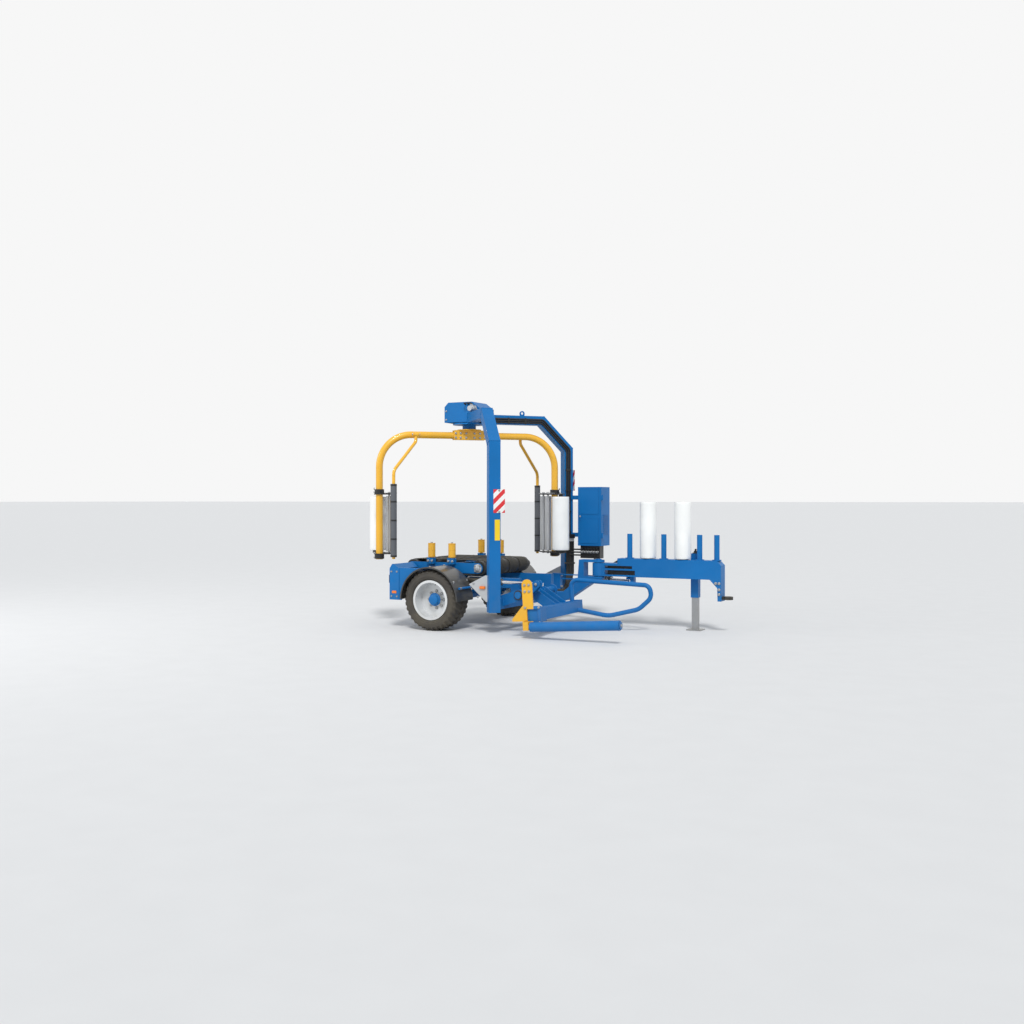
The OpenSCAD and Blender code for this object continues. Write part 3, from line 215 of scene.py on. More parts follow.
def coated(name, code, rough=0.35, worn="6a6a68", dust=0.35, dust_top=1.0, wear=0.5, edge=0.003,
           grain_scale=260.0, grain_depth=0.0003, **shader_values):
    """A material on the used surface group; the shader's own sockets take the plain values."""
    m = bpy.data.materials.new(name)
    m.use_nodes = True
    tree = m.node_tree
    group = add(tree, "ShaderNodeGroup", {
        "Vector": (add(tree, "ShaderNodeTexCoord"), "Object"), "Colour": linear(code), "Worn": linear(worn),
        "Dust": linear("8c8268"), "Dust Top": dust_top, "Dust Amount": dust, "Wear": wear, "Edge": edge,
        "Roughness": rough, "Grain": grain_scale, "Grain Depth": grain_depth}, node_tree=used)
    feed(tree.nodes["Principled BSDF"], {
        "Base Color": (group, "Colour"), "Roughness": (group, "Roughness"), "Normal": (group, "Normal"),
        **{key.replace("_", " "): value for key, value in shader_values.items()}})
    return m


def tree_of(m):
    """A coated material's tree, group and shader, and the link to its Object coordinates."""
    found = {n.bl_idname: n for n in m.node_tree.nodes}
    return (m.node_tree, found["ShaderNodeGroup"], found["ShaderNodeBsdfPrincipled"],
            (found["ShaderNodeTexCoord"], "Object"))


def dress(m, *names):
    """Gives a material to CAD nodes."""
    for name in names:
        nodes[name].data.materials.clear()
        nodes[name].data.materials.append(m)


blue_code = "006aae"
blue = coated("blue_paint", blue_code, rough=0.42, worn="33506a", dust=0.14, wear=0.4,
              Specular_IOR_Level=0.28)
black = coated("black_paint", "17181a", rough=0.42, worn="6e6e6c", dust=0.4, wear=0.5)
steel = coated("zinc", "a6a8aa", rough=0.42, worn="d0d0d0", dust=0.3, wear=0.3, Metallic=0.85)
dress(blue, "chassis_frame", "frame_brackets")


def piece(name, mesh, body, slot, *stands_for, angle=35):
    """Puts a finished mesh on its body, or on none where it blends, smooth apart from its sharp edges."""
    o = bpy.data.objects.new(name, mesh)
    link(o)
    for p in mesh.polygons:
        p.use_smooth = True
    mesh.set_sharp_from_angle(angle=math.radians(angle))
    if body:
        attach(o, body)
    if stands_for:
        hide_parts(*stands_for)
    return o


def from_bmesh(name, bm, m=None):
    """A mesh from a bmesh, with its faces turned outwards and one material."""
    bmesh.ops.remove_doubles(bm, verts=bm.verts, dist=1e-6)
    bmesh.ops.recalc_face_normals(bm, faces=bm.faces)
    for face in bm.faces:
        face.material_index = 0
    mesh = bpy.data.meshes.new(name)
    bm.to_mesh(mesh)
    bm.free()
    if m:
        mesh.materials.append(m)
    return mesh


def gathered(parts):
    """A bmesh of parts, each given as its maker and that maker's values."""
    bm = bmesh.new()
    for maker, *values in parts:
        maker(bm, *values)
    return bm


def slot_of(m):
    """The slot of a material's name, less the number that Blender adds to a name already in use."""
    return m.name.split(".")[0]


def form(name, m, body, parts, slot=None, stands_for=(), angle=35):
    """A piece of parts on one body; the slot, its material's name unless another is given, is passed on but
    not used.
    """
    mesh = from_bmesh(name, gathered(parts), m)
    return piece(name, mesh, body, slot or slot_of(m), *stands_for, angle=angle)


def geometry_tree(name, inputs):
    """An empty geometry tree with named inputs, and its two end nodes."""
    t = bpy.data.node_groups.new(name, "GeometryNodeTree")
    for label, kind in [("Geometry", "Geometry")] + inputs:
        t.interface.new_socket(name=label, in_out="INPUT", socket_type="NodeSocket" + kind)
    t.interface.new_socket(name="Geometry", in_out="OUTPUT", socket_type="NodeSocketGeometry")
    return t, t.nodes.new("NodeGroupInput"), t.nodes.new("NodeGroupOutput")


def painted(tree, instances, material):
    """A tree's instances made real, in their material."""
    real = add(tree, "GeometryNodeRealizeInstances", {0: instances})
    return add(tree, "GeometryNodeSetMaterial", {0: (real, 0), "Material": material}), 0


def grown(name, source, tree, **values):
    """The plain mesh that a geometry tree makes from a source mesh."""
    o = bpy.data.objects.new(name, source)
    link(o)
    grower = o.modifiers.new("grower", "NODES")
    grower.node_group = tree
    for item in tree.interface.items_tree:
        if item.in_out == "INPUT" and item.name in values:
            grower[item.identifier] = values[item.name]
    bpy.context.view_layer.update()
    mesh = bpy.data.meshes.new_from_object(o.evaluated_get(bpy.context.evaluated_depsgraph_get()))
    o.modifiers.clear()
    bpy.data.objects.remove(o)
    mesh.name = name
    return mesh


def lathe(bm, profile, count=48, close=False):
    """Turns a profile of (radius, height) about Z and gives its points; radius 0 ends in a pole."""
    rings = []
    for r, z in profile:
        turns = [i * math.tau / count for i in range(count if r else 1)]
        rings.append([bm.verts.new((r * math.cos(a), r * math.sin(a), z)) for a in turns])
    for a, b in list(zip(rings, rings[1:])) + ([(rings[-1], rings[0])] if close else []):
        for i in range(count):
            j = (i + 1) % count
            corners = [a[i % len(a)], a[j % len(a)], b[j % len(b)], b[i % len(b)]]
            unique = [v for k, v in enumerate(corners) if v not in corners[:k]]
            if len(unique) > 2:
                bm.faces.new(unique)
    return [v for ring in rings for v in ring]


def turned(bm, place, axis, profile, count=24, close=False):
    """A turned solid, its profile of (radius, height) in millimetres along an axis."""
    made = lathe(bm, [(r / 1000, z / 1000) for r, z in profile], count, close)
    turn = Vector(up).rotation_difference(Vector(axis)).to_matrix().to_4x4()
    bmesh.ops.transform(bm, matrix=Matrix.Translation(place) @ turn, verts=made)


def ring_at(bm, place, axis, inner, outer, height, count=24):
    """A flat ring or band round an axis, in millimetres."""
    turned(bm, place, axis, [(inner, 0), (outer, 0), (outer, height), (inner, height)], count, True)


def plate(bm, low_corner, high_corner, bevel=0.002, turn=None):
    """A box with rounded edges, between two corners."""
    lo, hi = Vector(low_corner), Vector(high_corner)
    made = bmesh.ops.create_cube(bm, size=1.0)["verts"]
    bmesh.ops.scale(bm, vec=hi - lo, verts=made)
    bmesh.ops.translate(bm, vec=(lo + hi) / 2, verts=made)
    if turn:
        bmesh.ops.transform(bm, matrix=turn, verts=made)
    if bevel:
        edges = list({e for v in made for e in v.link_edges})
        bmesh.ops.bevel(bm, geom=edges, offset=bevel, segments=2, affect="EDGES")


shapes = []


def shape_of(name, *parts):
    """A shape that trees repeat; it isn't part of the object."""
    shapes.append(bpy.data.objects.new(name, from_bmesh(name, gathered(parts))))
    return shapes[-1]


# studs: a shape set on points, its Z along each point's axis, with a seeded spin
studs, si, so = geometry_tree("studs", [("Shape", "Object"), ("Size", "Float"), ("Seed", "Int"),
                                        ("Material", "Material")])
stud_shape = add(studs, "GeometryNodeObjectInfo", {"Object": (si, "Shape")})
stud_axis = add(studs, "GeometryNodeInputNamedAttribute", {"Name": "axis"}, data_type="FLOAT_VECTOR")
stud_line = add(studs, "FunctionNodeAlignRotationToVector", {"Vector": (stud_axis, 0)}, axis="Z")
stud_random = add(studs, "FunctionNodeRandomValue", {1: (0, 0, 6.2832), "Seed": (si, "Seed")},
                  data_type="FLOAT_VECTOR")
stud_spin = add(studs, "FunctionNodeRotateRotation", {0: (stud_line, 0), 1: (stud_random, 0)},
                rotation_space="LOCAL")
stud_set = add(studs, "GeometryNodeInstanceOnPoints",
               {"Points": (si, "Geometry"), "Instance": (stud_shape, "Geometry"), "Rotation": (stud_spin, 0),
                "Scale": (si, "Size")})
feed(so, {0: painted(studs, (stud_set, 0), (si, "Material"))})

# a hexagon head on its washer, for a bolt of 10 mm
bolt_shape = shape_of(
    "bolt_shape", (turned, (0, 0, 0), up, [(0, 0), (10.5, 0), (10.5, 1.8), (9.5, 2.2), (0, 2.2)], 16),
    (turned, (0, 0, 0), up, [(9.8, 2.2), (9.8, 7.8), (8.2, 8.8), (0, 8.8)], 6))


def bolts(name, body, rows, size=1.0, shape=bolt_shape):
    """Bolt heads, or another steel shape, at (place, axis) rows on one body."""
    mesh = bpy.data.meshes.new(name)
    mesh.from_pydata([p for p, _ in rows], [], [])
    axis = mesh.attributes.new("axis", "FLOAT_VECTOR", "POINT")
    axis.data.foreach_set("vector", [c for _, a in rows for c in Vector(a).normalized()])
    made = grown(name, mesh, studs, Shape=shape, Size=size, Seed=7, Material=steel)
    return piece(name, made, body, slot_of(steel))


# pipe: a round tube along a line with rounded corners, for hoses, pipes, rails and weld beads
pipe, pi, po = geometry_tree("pipe", [("Radius", "Float"), ("Bend", "Float"), ("Sides", "Int"),
                                      ("Ripple", "Float"), ("Step", "Float"), ("Material", "Material")])
pipe_line = add(pipe, "GeometryNodeMeshToCurve", {0: (pi, "Geometry")})
pipe_bend = add(pipe, "GeometryNodeFilletCurve", {0: (pipe_line, 0), "Radius": (pi, "Bend"), "Count": 7,
                                                  "Limit Radius": True}, mode="POLY")
pipe_step = add(pipe, "GeometryNodeResampleCurve", {0: (pipe_bend, 0), "Length": (pi, "Step")}, mode="LENGTH")
pipe_round = add(pipe, "GeometryNodeCurvePrimitiveCircle",
                 {"Resolution": (pi, "Sides"), "Radius": (pi, "Radius")})
pipe_mesh = add(pipe, "GeometryNodeCurveToMesh", {"Curve": (pipe_step, 0), "Profile Curve": (pipe_round, 0),
                                                  "Fill Caps": True})
pipe_wave = add(pipe, "ShaderNodeTexNoise", {"Scale": 120.0})
pipe_depth = maths(pipe, "MULTIPLY", maths(pipe, "SUBTRACT", (pipe_wave, "Fac"), 0.5), (pi, "Ripple"))
pipe_normal = add(pipe, "GeometryNodeInputNormal")
pipe_out = add(pipe, "ShaderNodeVectorMath", {0: (pipe_normal, 0), "Scale": pipe_depth}, operation="SCALE")
pipe_move = add(pipe, "GeometryNodeSetPosition", {0: (pipe_mesh, 0), "Offset": (pipe_out, 0)})
pipe_paint = add(pipe, "GeometryNodeSetMaterial", {0: (pipe_move, 0), "Material": (pi, "Material")})
feed(po, {0: (pipe_paint, 0)})


def pipes(name, body, lines, radius, bend, m, count=12, ripple=0.0, step=0.012):
    """Round tubes along lines of places, in one piece."""
    points, edges = [], []
    for line in lines:
        edges += [(len(points) + i, len(points) + i + 1) for i in range(len(line) - 1)]
        points += line
    mesh = bpy.data.meshes.new(name)
    mesh.from_pydata(points, edges, [])
    made = grown(name, mesh, pipe, Radius=radius, Bend=bend, Sides=count, Ripple=ripple, Step=step,
                 Material=m)
    return piece(name, made, body, slot_of(m), angle=60)


def welds(name, body, lines, m=blue):
    """Rippled weld beads along corners."""
    return pipes(name, body, lines, 0.0045, 0.0, m, count=6, ripple=0.006, step=0.007)


lines, rows = [], []
for side in sides:
    inner, outer = side * 460, side * 540
    lines += [[at(x, inner, 455), at(x, outer, 455)] for x in (860, 980)]
    lines += [[at(-90, y, 545), at(90, y, 545)] for y in (outer, inner)]
    lines += [[at(x, y, 545), at(x, y, z)] for x, y, z in ((-540, inner, 565), (-620, outer, 565),
                                                           (250, inner, 560), (330, inner, 560))]
lines.append([at(x, y, 456) for x, y in ((860, 760), (980, 760), (980, 840), (860, 840), (860, 760))])
lines += [[at(980, y, 330), at(980, y, 445)] for y in (270, 430)]
lines += [[at(981, ear + s * 11, 350), at(981, ear + s * 11, 452)] for ear in (-960, -330, 40) for s in sides]
welds("chassis_welds", "chassis", lines)

for side in sides:
    rows += [(at(-632, side * y, z), (-1, 0, 0)) for y in (760, 1120) for z in (480, 540)]
    rows += [(around(0, side * 760, axle_z, 66, 30 + 60 * i), (0, -side, 0)) for i in range(6)]
rows += [(at(x, -717.5, z), (0, -1, 0)) for x, z in ((138, 590), (162, 614))]
rows += [(at(980, y, z), (1, 0, 0)) for z in (480, 640) for y in (785, 815)]
bolts("chassis_bolts", "chassis", rows, 1.5)

form("guard_clamps", steel, "chassis", [
    (ring_at, at(end * 421.9, side * y - 14, 565), (0, 1, 0), 15.2, 19, 28)
    for side in sides for end in sides for y in (850, 1110)])

# ---- Wheels ----
# Each wheel is a wide low-pressure tyre on a pressed steel rim with a deep dish. The rim is sprayed
# silver and held by eight nuts; the hub behind its blue cap turns on the stub axle.

tread_rubber = coated("tyre_rubber", "3a3735", rough=0.78, worn="4e4b48", dust=0.3, dust_top=1.1, wear=0.35,
                      grain_scale=420.0, grain_depth=0.0006)
silver = coated("silver_paint", "dcdedf", rough=0.3, worn="9c9a94", dust=0.3, dust_top=0.8, wear=0.3,
                Metallic=0.25, Coat_Weight=0.2)
dress(silver, "rim_right", "rim_left")

# spaced: a shape repeated along a step and a turn, for tread, ribs, teeth and slats
spaced, ri, ro = geometry_tree("spaced", [("Shape", "Object"), ("Count", "Int"), ("Start", "Vector"),
                                          ("Step", "Vector"), ("Axis", "Vector"), ("Turn", "Float"),
                                          ("Material", "Material")])
row_points = add(spaced, "GeometryNodeMeshLine", {"Count": (ri, "Count"), "Start Location": (ri, "Start"),
                                                  "Offset": (ri, "Step")})
row_shape = add(spaced, "GeometryNodeObjectInfo", {"Object": (ri, "Shape")})
row_angle = maths(spaced, "MULTIPLY", (add(spaced, "GeometryNodeInputIndex"), 0), (ri, "Turn"))
row_turn = add(spaced, "FunctionNodeAxisAngleToRotation", {"Angle": row_angle, "Axis": (ri, "Axis")})
row_set = add(spaced, "GeometryNodeInstanceOnPoints",
              {"Points": (row_points, 0), "Instance": (row_shape, "Geometry"), "Rotation": (row_turn, 0)})
row_join = add(spaced, "GeometryNodeJoinGeometry", {0: painted(spaced, (row_set, 0), (ri, "Material"))})
feed(row_join, {0: (ri, "Geometry")})
feed(ro, {0: (row_join, 0)})


def repeated(name, shape, count, start, step=(0, 0, 0), turn=0.0, m=steel, base=None):
    """A plain mesh of a shape repeated along a step and a turn about Z, joined to a base mesh."""
    return grown(name, base or bpy.data.meshes.new(name), spaced, Shape=shape, Count=count,
                 Start=tuple(start), Step=tuple(step), Axis=up, Turn=turn, Material=m)


def tread_lug(bm):
    """One slanted tread bar from the middle of the tyre over its shoulder, the wheel's axis along Z."""
    rings = []
    for w, outer, inner, half in (
            (6, 399, 385, 17), (60, 400, 385, 15), (105, 400, 385, 15), (135, 398, 382, 17),
            (158, 391, 372, 18), (176, 377, 362, 17), (186, 360, 350, 13)):
        ring = []
        for r, d in ((inner, -half - 3), (outer, -half), (outer, half), (inner, half + 3)):
            a = (w * 0.42 + d) / 400
            ring.append(bm.verts.new((r / 1000 * math.cos(a), r / 1000 * math.sin(a), w / 1000)))
        rings.append(ring)
    for a, b in zip(rings, rings[1:]):
        for i in range(4):
            bm.faces.new((a[i], a[(i + 1) % 4], b[(i + 1) % 4], b[i]))
    bm.faces.new(rings[0])
    bm.faces.new(rings[-1])


lug_shape, lug_count = shape_of("lug_shape", (tread_lug,)), 34
tread = dict(turn=math.tau / lug_count, m=tread_rubber)
side_wall = [(241, 146), (266, 150), (270, 158), (277, 174), (286, 182), (288, 185), (293, 186), (296, 184),
             (308, 188), (310, 190), (314, 190), (316, 188), (334, 188), (350, 184), (352, 186), (356, 185),
             (358, 181), (372, 170), (382, 154), (387, 136), (388, 60), (388, 24), (384, 20), (384, 8),
             (388, 4)]
tyre_profile = side_wall + [(r, -w) for r, w in reversed(side_wall)]
carcass = from_bmesh("carcass", gathered([(turned, (0, 0, 0), up, tyre_profile, 96, True)]))
tyre = bmesh.new()
tyre.from_mesh(repeated("tread", lug_shape, lug_count, (0, 0, 0), base=carcass, **tread))
other_half = repeated("tread", lug_shape, lug_count, (0, 0, 0), **tread)
other_half.transform(Matrix.Rotation(math.pi, 4, "X") @ Matrix.Rotation(0.09, 4, "Z"))
tyre.from_mesh(other_half)
for side, name in ((-1, "right"), (1, "left")):
    wheel, rim_y = f"wheel_{name}", side * 1010
    bm = tyre.copy()
    outwards = Matrix.Translation(at(0, rim_y, axle_z)) @ Matrix.Rotation(math.radians(-90 * side), 4, "X")
    bmesh.ops.transform(bm, matrix=outwards, verts=bm.verts)
    mesh = from_bmesh(f"tyre_tread_{name}", bm, tread_rubber)
    piece(f"tyre_tread_{name}", mesh, wheel, "tyre_rubber", f"tyre_{name}")

    hub = at(0, rim_y + side * 38, axle_z)
    form(f"hub_cap_{name}", blue, wheel, [
        (turned, hub, (0, side, 0),
         [(86, 0), (87, 3), (87, 10), (82, 16), (72, 20), (70, 44), (64, 56), (40, 63), (0, 65)], 40),
        (ring_at, hub, (0, side, 0), 30.5, 86, 2, 40)])
    nuts = [(around(0, rim_y, axle_z, 112, 45 * i), (0, side, 0)) for i in range(8)]
    bolts(f"wheel_nuts_{name}", wheel, nuts, 2.0)
    form(f"valve_stem_{name}", black, wheel, [
        (turned, at(0, rim_y, 605), (0, side, -0.35), [(6, -8), (6, 20), (4.5, 22), (4.5, 44), (0, 46)], 12)])

# ---- Mudguards, rear panels and lamps ----
# The mudguards are rolled sheet, sprayed black. Folded blue panels close the rear corners and carry
# moulded lamps; reflectors and plain plates are riveted on.

guard_black = coated("guard_black", "2a2c2f", rough=0.3, worn="8a8a88", dust=0.3, dust_top=1.3, wear=0.5,
                     Coat_Weight=0.3)
dress(guard_black, "mudguards")
dress(blue, "rear_panels")


def from_middle(tree, xyz):
    """How far a point lies from the machine's middle plane."""
    return maths(tree, "ABSOLUTE", maths(tree, "ADD", (xyz, "Y"), -axle_y))


# the lamp's glass is clear, red and amber in bands from the middle outwards, with upright ribs
lens = coated("lamp_red", "b0141a", rough=0.12, dust=0.2, wear=0.0, grain_scale=60.0, grain_depth=0.0,
              Coat_Weight=0.6)
tree, group, shader, place = tree_of(lens)
lens_y = from_middle(tree, add(tree, "ShaderNodeSeparateXYZ", {0: place}))
lens_bands = add(tree, "ShaderNodeValToRGB", {"Fac": ranged(tree, lens_y, 0.93, 1.11)})
lens_bands.color_ramp.interpolation = "CONSTANT"
bands = lens_bands.color_ramp.elements
bands[0].color = linear("b8c0c4")
bands[1].position = 0.22
bands[1].color = linear("b0101a")
bands.new(0.62).color = linear("e0780c")
ribs = add(tree, "ShaderNodeTexWave", {"Vector": place, "Scale": 55.0}, bands_direction="Y")
lens_bump = add(tree, "ShaderNodeBump", {"Distance": 0.002, "Strength": 0.7, "Height": (ribs, "Fac")})
feed(group, {"Colour": (lens_bands, "Color")})
feed(shader, {"Normal": (lens_bump, 0)})
dress(lens, "rear_lamps")
amber = coated("amber_lens", "f07a10", rough=0.12, dust=0.1, wear=0.0, Coat_Weight=0.6)
reflex = coated("reflector_red", "d0201c", rough=0.15, dust=0.15, wear=0.0, Coat_Weight=0.5)

parts, rows = [], []
for side in sides:
    lamp_y, plate_y = side * 1020, side * 860
    parts += [(plate, at(-684, lamp_y + y0, z0), at(-633, lamp_y + y1, z1), 0.0015)
              for y0, y1, z0, z1 in ((-98, -90.5, 602, 708), (90.5, 98, 602, 708),
                                     (-98, 98, 602, 609.5), (-98, 98, 700.5, 708))]
    parts.append((plate, at(-636, plate_y - 60, 640), at(-632.2, plate_y + 60, 700), 0.001))
    rows += [(at(x, side * 1180, z), (0, side, 0)) for x in (-600, -514) for z in (430, 760)]
    rows += [(at(-632, side * y, z), (-1, 0, 0)) for y in (740, 1140) for z in (420, 770)]
form("lamp_housings", black, "chassis", parts)
guard_r = 438
for side in sides:
    for a in (35, 145, 90):
        out = (math.cos(math.radians(a)), 0, math.sin(math.radians(a)))
        rows += [(around(0, side * y, axle_z, guard_r, a), out) for y in (830, 1180)]
bolts("panel_bolts", "chassis", rows, 1.2)
form("reflectors", reflex, "chassis", [
    (turned, at(-632, side * 1130, 560), (-1, 0, 0), [(30, 0), (30, 4), (27, 7), (0, 7)], 32)
    for side in sides], "lamp_red")
parts = []
for side in sides:
    near, far = sorted((side * 1179, side * 1186))
    parts.append((plate, at(-592, near, 470), at(-522, far, 505), 0.0025))
form("side_reflectors", amber, "chassis", parts, "lamp_red")


def cut_sheet(bm, outline, y0, y1):
    """A flat sheet with a cut outline of (x, z) points, between two distances across, millimetres."""
    near = [bm.verts.new(at(x, y0, z)) for x, z in outline]
    far = [bm.verts.new(at(x, y1, z)) for x, z in outline]
    bm.faces.new(near)
    bm.faces.new(list(reversed(far)))
    for i in range(len(outline)):
        j = (i + 1) % len(outline)
        bm.faces.new((near[i], far[i], far[j], near[j]))


sheet_r = guard_r + 0.6
guard_edge = [(sheet_r * math.cos(math.radians(a)), axle_z + sheet_r * math.sin(math.radians(a)))
              for a in range(182, 112, -4)]
corner = [(-486, 385)] + guard_edge + [(-180, 812), (-486, 812)]
ledge = [(-486, 806), (-180, 806), (-180, 812), (-486, 812)]
form("corner_sheets", blue, "chassis", [
    (cut_sheet, outline, side * y0, side * y1) for side in sides
    for outline, y0, y1 in ((corner, 1168, 1173.7), (ledge, 1120, 1168))])

# ---- Arch ----
# Two mitred box-section legs lean in at the top and carry the drive. The hoses of the rotor lie in
# clips down the left leg; red and white plates and yellow strips mark the legs.

leg_turn = math.atan2(1120, 1000)
reach = math.hypot(1000, 1120)
half_l, half_w = 65, 75
rotor = at(-80, 0, 0)


def on_leg(side, out, across, z):
    """A place beside a leg: distance from the turning centre, across the leg, and height."""
    c, s = math.cos(side * leg_turn), math.sin(side * leg_turn)
    return rotor + Vector((out * c - across * s, out * s + across * c, z)) / 1000


grey = coated("grey_plate", "b9bcbf", rough=0.4, worn="7c7c7a", dust=0.4, wear=0.4)
motor_metal = coated("motor_metal", "b6b9bc", rough=0.38, dust=0.2, wear=0.2, grain_scale=90.0,
                     grain_depth=0.0008, Metallic=0.6)
rubber = coated("hose_rubber", "151515", rough=0.55, worn="3a3a3a", dust=0.4, wear=0.2, grain_scale=700.0,
                grain_depth=0.0004)
dress(blue, "arch_frame", "gearbox_cover")
dress(grey, "marker_plates")
dress(motor_metal, "gearbox_motor")
dress(rubber, "arch_hoses")

# slanted red stripes on white, mirrored from one side of the machine to the other
striped = coated("plate_white", "f0f0ee", rough=0.25, worn="a0a09c", dust=0.15, wear=0.3, Coat_Weight=0.3)
tree, group, shader, place = tree_of(striped)
xyz = add(tree, "ShaderNodeSeparateXYZ", {0: place})
slant = maths(tree, "ADD", maths(tree, "MULTIPLY", from_middle(tree, xyz), 1.5), (xyz, "Z"))
red_band = maths(tree, "GREATER_THAN", maths(tree, "WRAP", slant, 0.14, 0.0), 0.07)
stripes = add(tree, "ShaderNodeMix", {0: red_band, "A": linear("f0f0ee"), "B": linear("d8222a")},
              data_type="RGBA")
feed(group, {"Colour": (stripes, "Result")})
dress(striped, "hazard_plates")

yellow_strip = coated("strip_yellow", "f4cf1a", rough=0.3, dust=0.1, wear=0.1)
out_face, knee = reach + half_l, reach + half_l - 450
mitre = 2 * half_l * math.tan(math.pi / 8)
lines, rows, strips, lamps = [], [], [], []
for side in sides:
    strip_z, hazard_z = (1.2, (1562, 1838)) if side < 0 else (1.5, (1862, 2138))
    turn = Matrix.Translation(on_leg(side, out_face, 0, 0)) @ Matrix.Rotation(side * leg_turn, 4, "Z")
    strip_y = -side * 0.032
    strips.append((plate, (0, strip_y - 0.034, strip_z), (0.002, strip_y + 0.034, strip_z + 0.265), 0.0,
                   turn))
    for across in (-half_w, half_w):
        lines += [[on_leg(side, reach - half_l, across, 2470 - mitre), on_leg(side, out_face, across, 2470)],
                  [on_leg(side, knee, across, 2920), on_leg(side, knee - mitre, across, 2790)]]
    lines += [[on_leg(side, out, across, z) for across in (-half_w, half_w)]
              for out, z in ((out_face, 2470), (knee, 2920))]
    rows += [(on_leg(side, out_face + 4.3, -side * 56, z), (math.cos(leg_turn), side * math.sin(leg_turn), 0))
             for z in hazard_z]
    rows += [(at(x, side * 1144, z), (0, side, 0))
             for x, z in ((880, 440), (880, 720), (700, 470), (640, 640))]
    near, far = sorted((side * 1144, side * 1170))
    lamps.append((plate, at(735, near, 575), at(815, far, 612), 0.006))
form("yellow_strips", yellow_strip, "chassis", strips, "plate_white")
form("side_lamps", amber, "chassis", lamps, "lamp_red")
welds("arch_welds", "chassis", lines)
rows += [(at(x, y, z), (0, y, 0)) for x in (-330, 170) for y in (-210, 210) for z in (2840, 2960)]
bolts("arch_bolts", "chassis", rows, 1.3)

form("motor_fins", motor_metal, "chassis", [(ring_at, at(-80, 0, z), up, 60, 76, 3, 32)
                                            for z in range(2928, 2976, 8)])
ports = (-248, -282)
form("drive_motor", motor_metal, "chassis", [
    (turned, at(110, -210, 2978), (0, -1, 0), [
        (0, -1), (54, -1), (54, 9), (40, 9), (40, 14), (43, 16), (43, 70), (39, 74), (39, 112), (34, 118),
        (0, 118)], 32)] + [
    (turned, at(110, y, 3014), up, [(0, 0), (14, 0), (14, 12), (10, 14), (10, 24), (0, 24)], 12)
    for y in ports])
pipes("drive_hoses", "chassis", [[at(110, y, 3030), at(110, y, 3056), at(x, y, 3056), at(x, -206, 3040)]
                                 for x, y in zip((28, -12), ports)], 0.009, 0.025, rubber)


def on_hose_face(out, z):
    """The turn to the face of the left leg that carries the hoses: X outwards, Z off the face."""
    return (Matrix.Translation(on_leg(1, out, -half_w, z)) @ Matrix.Rotation(leg_turn, 4, "Z")
            @ Matrix.Rotation(math.pi / 2, 4, "X"))


form("hose_clips", black, "chassis",
     [(plate, (-0.044, -0.012, 0), (0.044, 0.012, 0.0245), 0.004, on_hose_face(reach - 13, z))
      for z in (1250, 1550, 1850, 2150)]
     + [(plate, (-0.012, -0.044, 0), (0.012, 0.044, 0.0245), 0.004, on_hose_face(out, 2842))
        for out in (300, 560, 820)])

# ---- Cabinet and valves ----
# A folded steel box with a hinged door holds the controls. The oil valves hang below it, a row of
# sections with solenoids, and their hoses run to the frame and over to the drawbar.

dress(blue, "cabinet_box", "cabinet_door")
dress(black, "valve_block")
slat_shape = shape_of("slat_shape", (plate, (-0.002, -0.085, -0.009), (0.010, 0.085, 0.006), 0.003))
louvres = repeated("cabinet_louvres", slat_shape, 9, at(1540, 1100, 1240), (0, 0, 0.032), m=blue)
piece("cabinet_louvres", louvres, "chassis", "blue_paint")
door_y = 936
form("door_panels", blue, "cabinet_door", [
    (plate, at(1215, door_y - 4, z0), at(1505, door_y + 0.5, z1), 0.0035)
    for z0, z1 in ((1090, 1450), (1510, 1870))])
form("door_lock", steel, "cabinet_door",
     [(turned, at(1221, door_y - 14, 1480), (0, -1, 0), [(13, -3), (13, 6), (10, 8), (0, 8)], 20)])
coil_shape = shape_of("coil_shape", (
    turned, (0, 0, 0), up,
    [(20, 0), (20, 8), (17, 10), (17, 44), (13, 48), (7, 48), (7, 60), (0, 61)], 20))
coils = repeated("valve_coils", coil_shape, 6, (0, 0, 0), (0.046, 0, 0))
coils.transform(Matrix.Translation(at(1235, 980, 970)) @ Matrix.Rotation(math.pi / 2, 4, "X"))
piece("valve_coils", coils, "chassis", "zinc")
form("valve_sections", black, "chassis",
     [(plate, at(1204 + i * 48, 976, 884), at(1208 + i * 48, 980, 1056), 0.001) for i in range(7)]
     + [(plate, at(1221 + i * 46, 958, 1000), at(1249 + i * 46, 980, 1036), 0.004) for i in range(6)])

crimp_shape = shape_of("crimp_shape", (
    turned, (0, 0, 0), up,
    [(0, -6), (15, -6), (15, 6), (13, 6), (13, 40), (14, 42), (12, 44), (0, 44)], 12))
rows, frame_lines, bar_lines, bar_ends = [], [], [], []
for i in range(5):
    top = on_leg(1, reach + 25 * (i - 2), -122, 0)
    x, y, z, end_y = (top.x - axle_x) * 1000, (top.y - axle_y) * 1000, 436 - 24 * i, 500 - 25 * i
    frame_lines.append([at(x, y, 1150), at(x, y, 660), at(996, y - 70, z + 90), at(994, y - 150, z),
                        at(994, end_y + 60, z), at(994, end_y + 25, z)])
    rows += [(at(x, y, 1160), (0, 0, -1)), (at(994, end_y, z), (0, 1, 0))]
parts = []
for z, tall in ((1190, 0.03), (800, 0.012)):
    face = on_hose_face(reach, z)
    parts += [(plate, (x0, -tall, 0.0), (x1, tall, 0.0635), 0.002, face)
              for x0, x1 in ((-0.070, -0.0635), (0.0635, 0.070))]
    parts.append((plate, (-0.070, -tall, 0.0265), (0.070, tall, 0.0635), 0.004, face))
form("leg_manifold", black, "chassis", parts)
bar_hose_y = 482
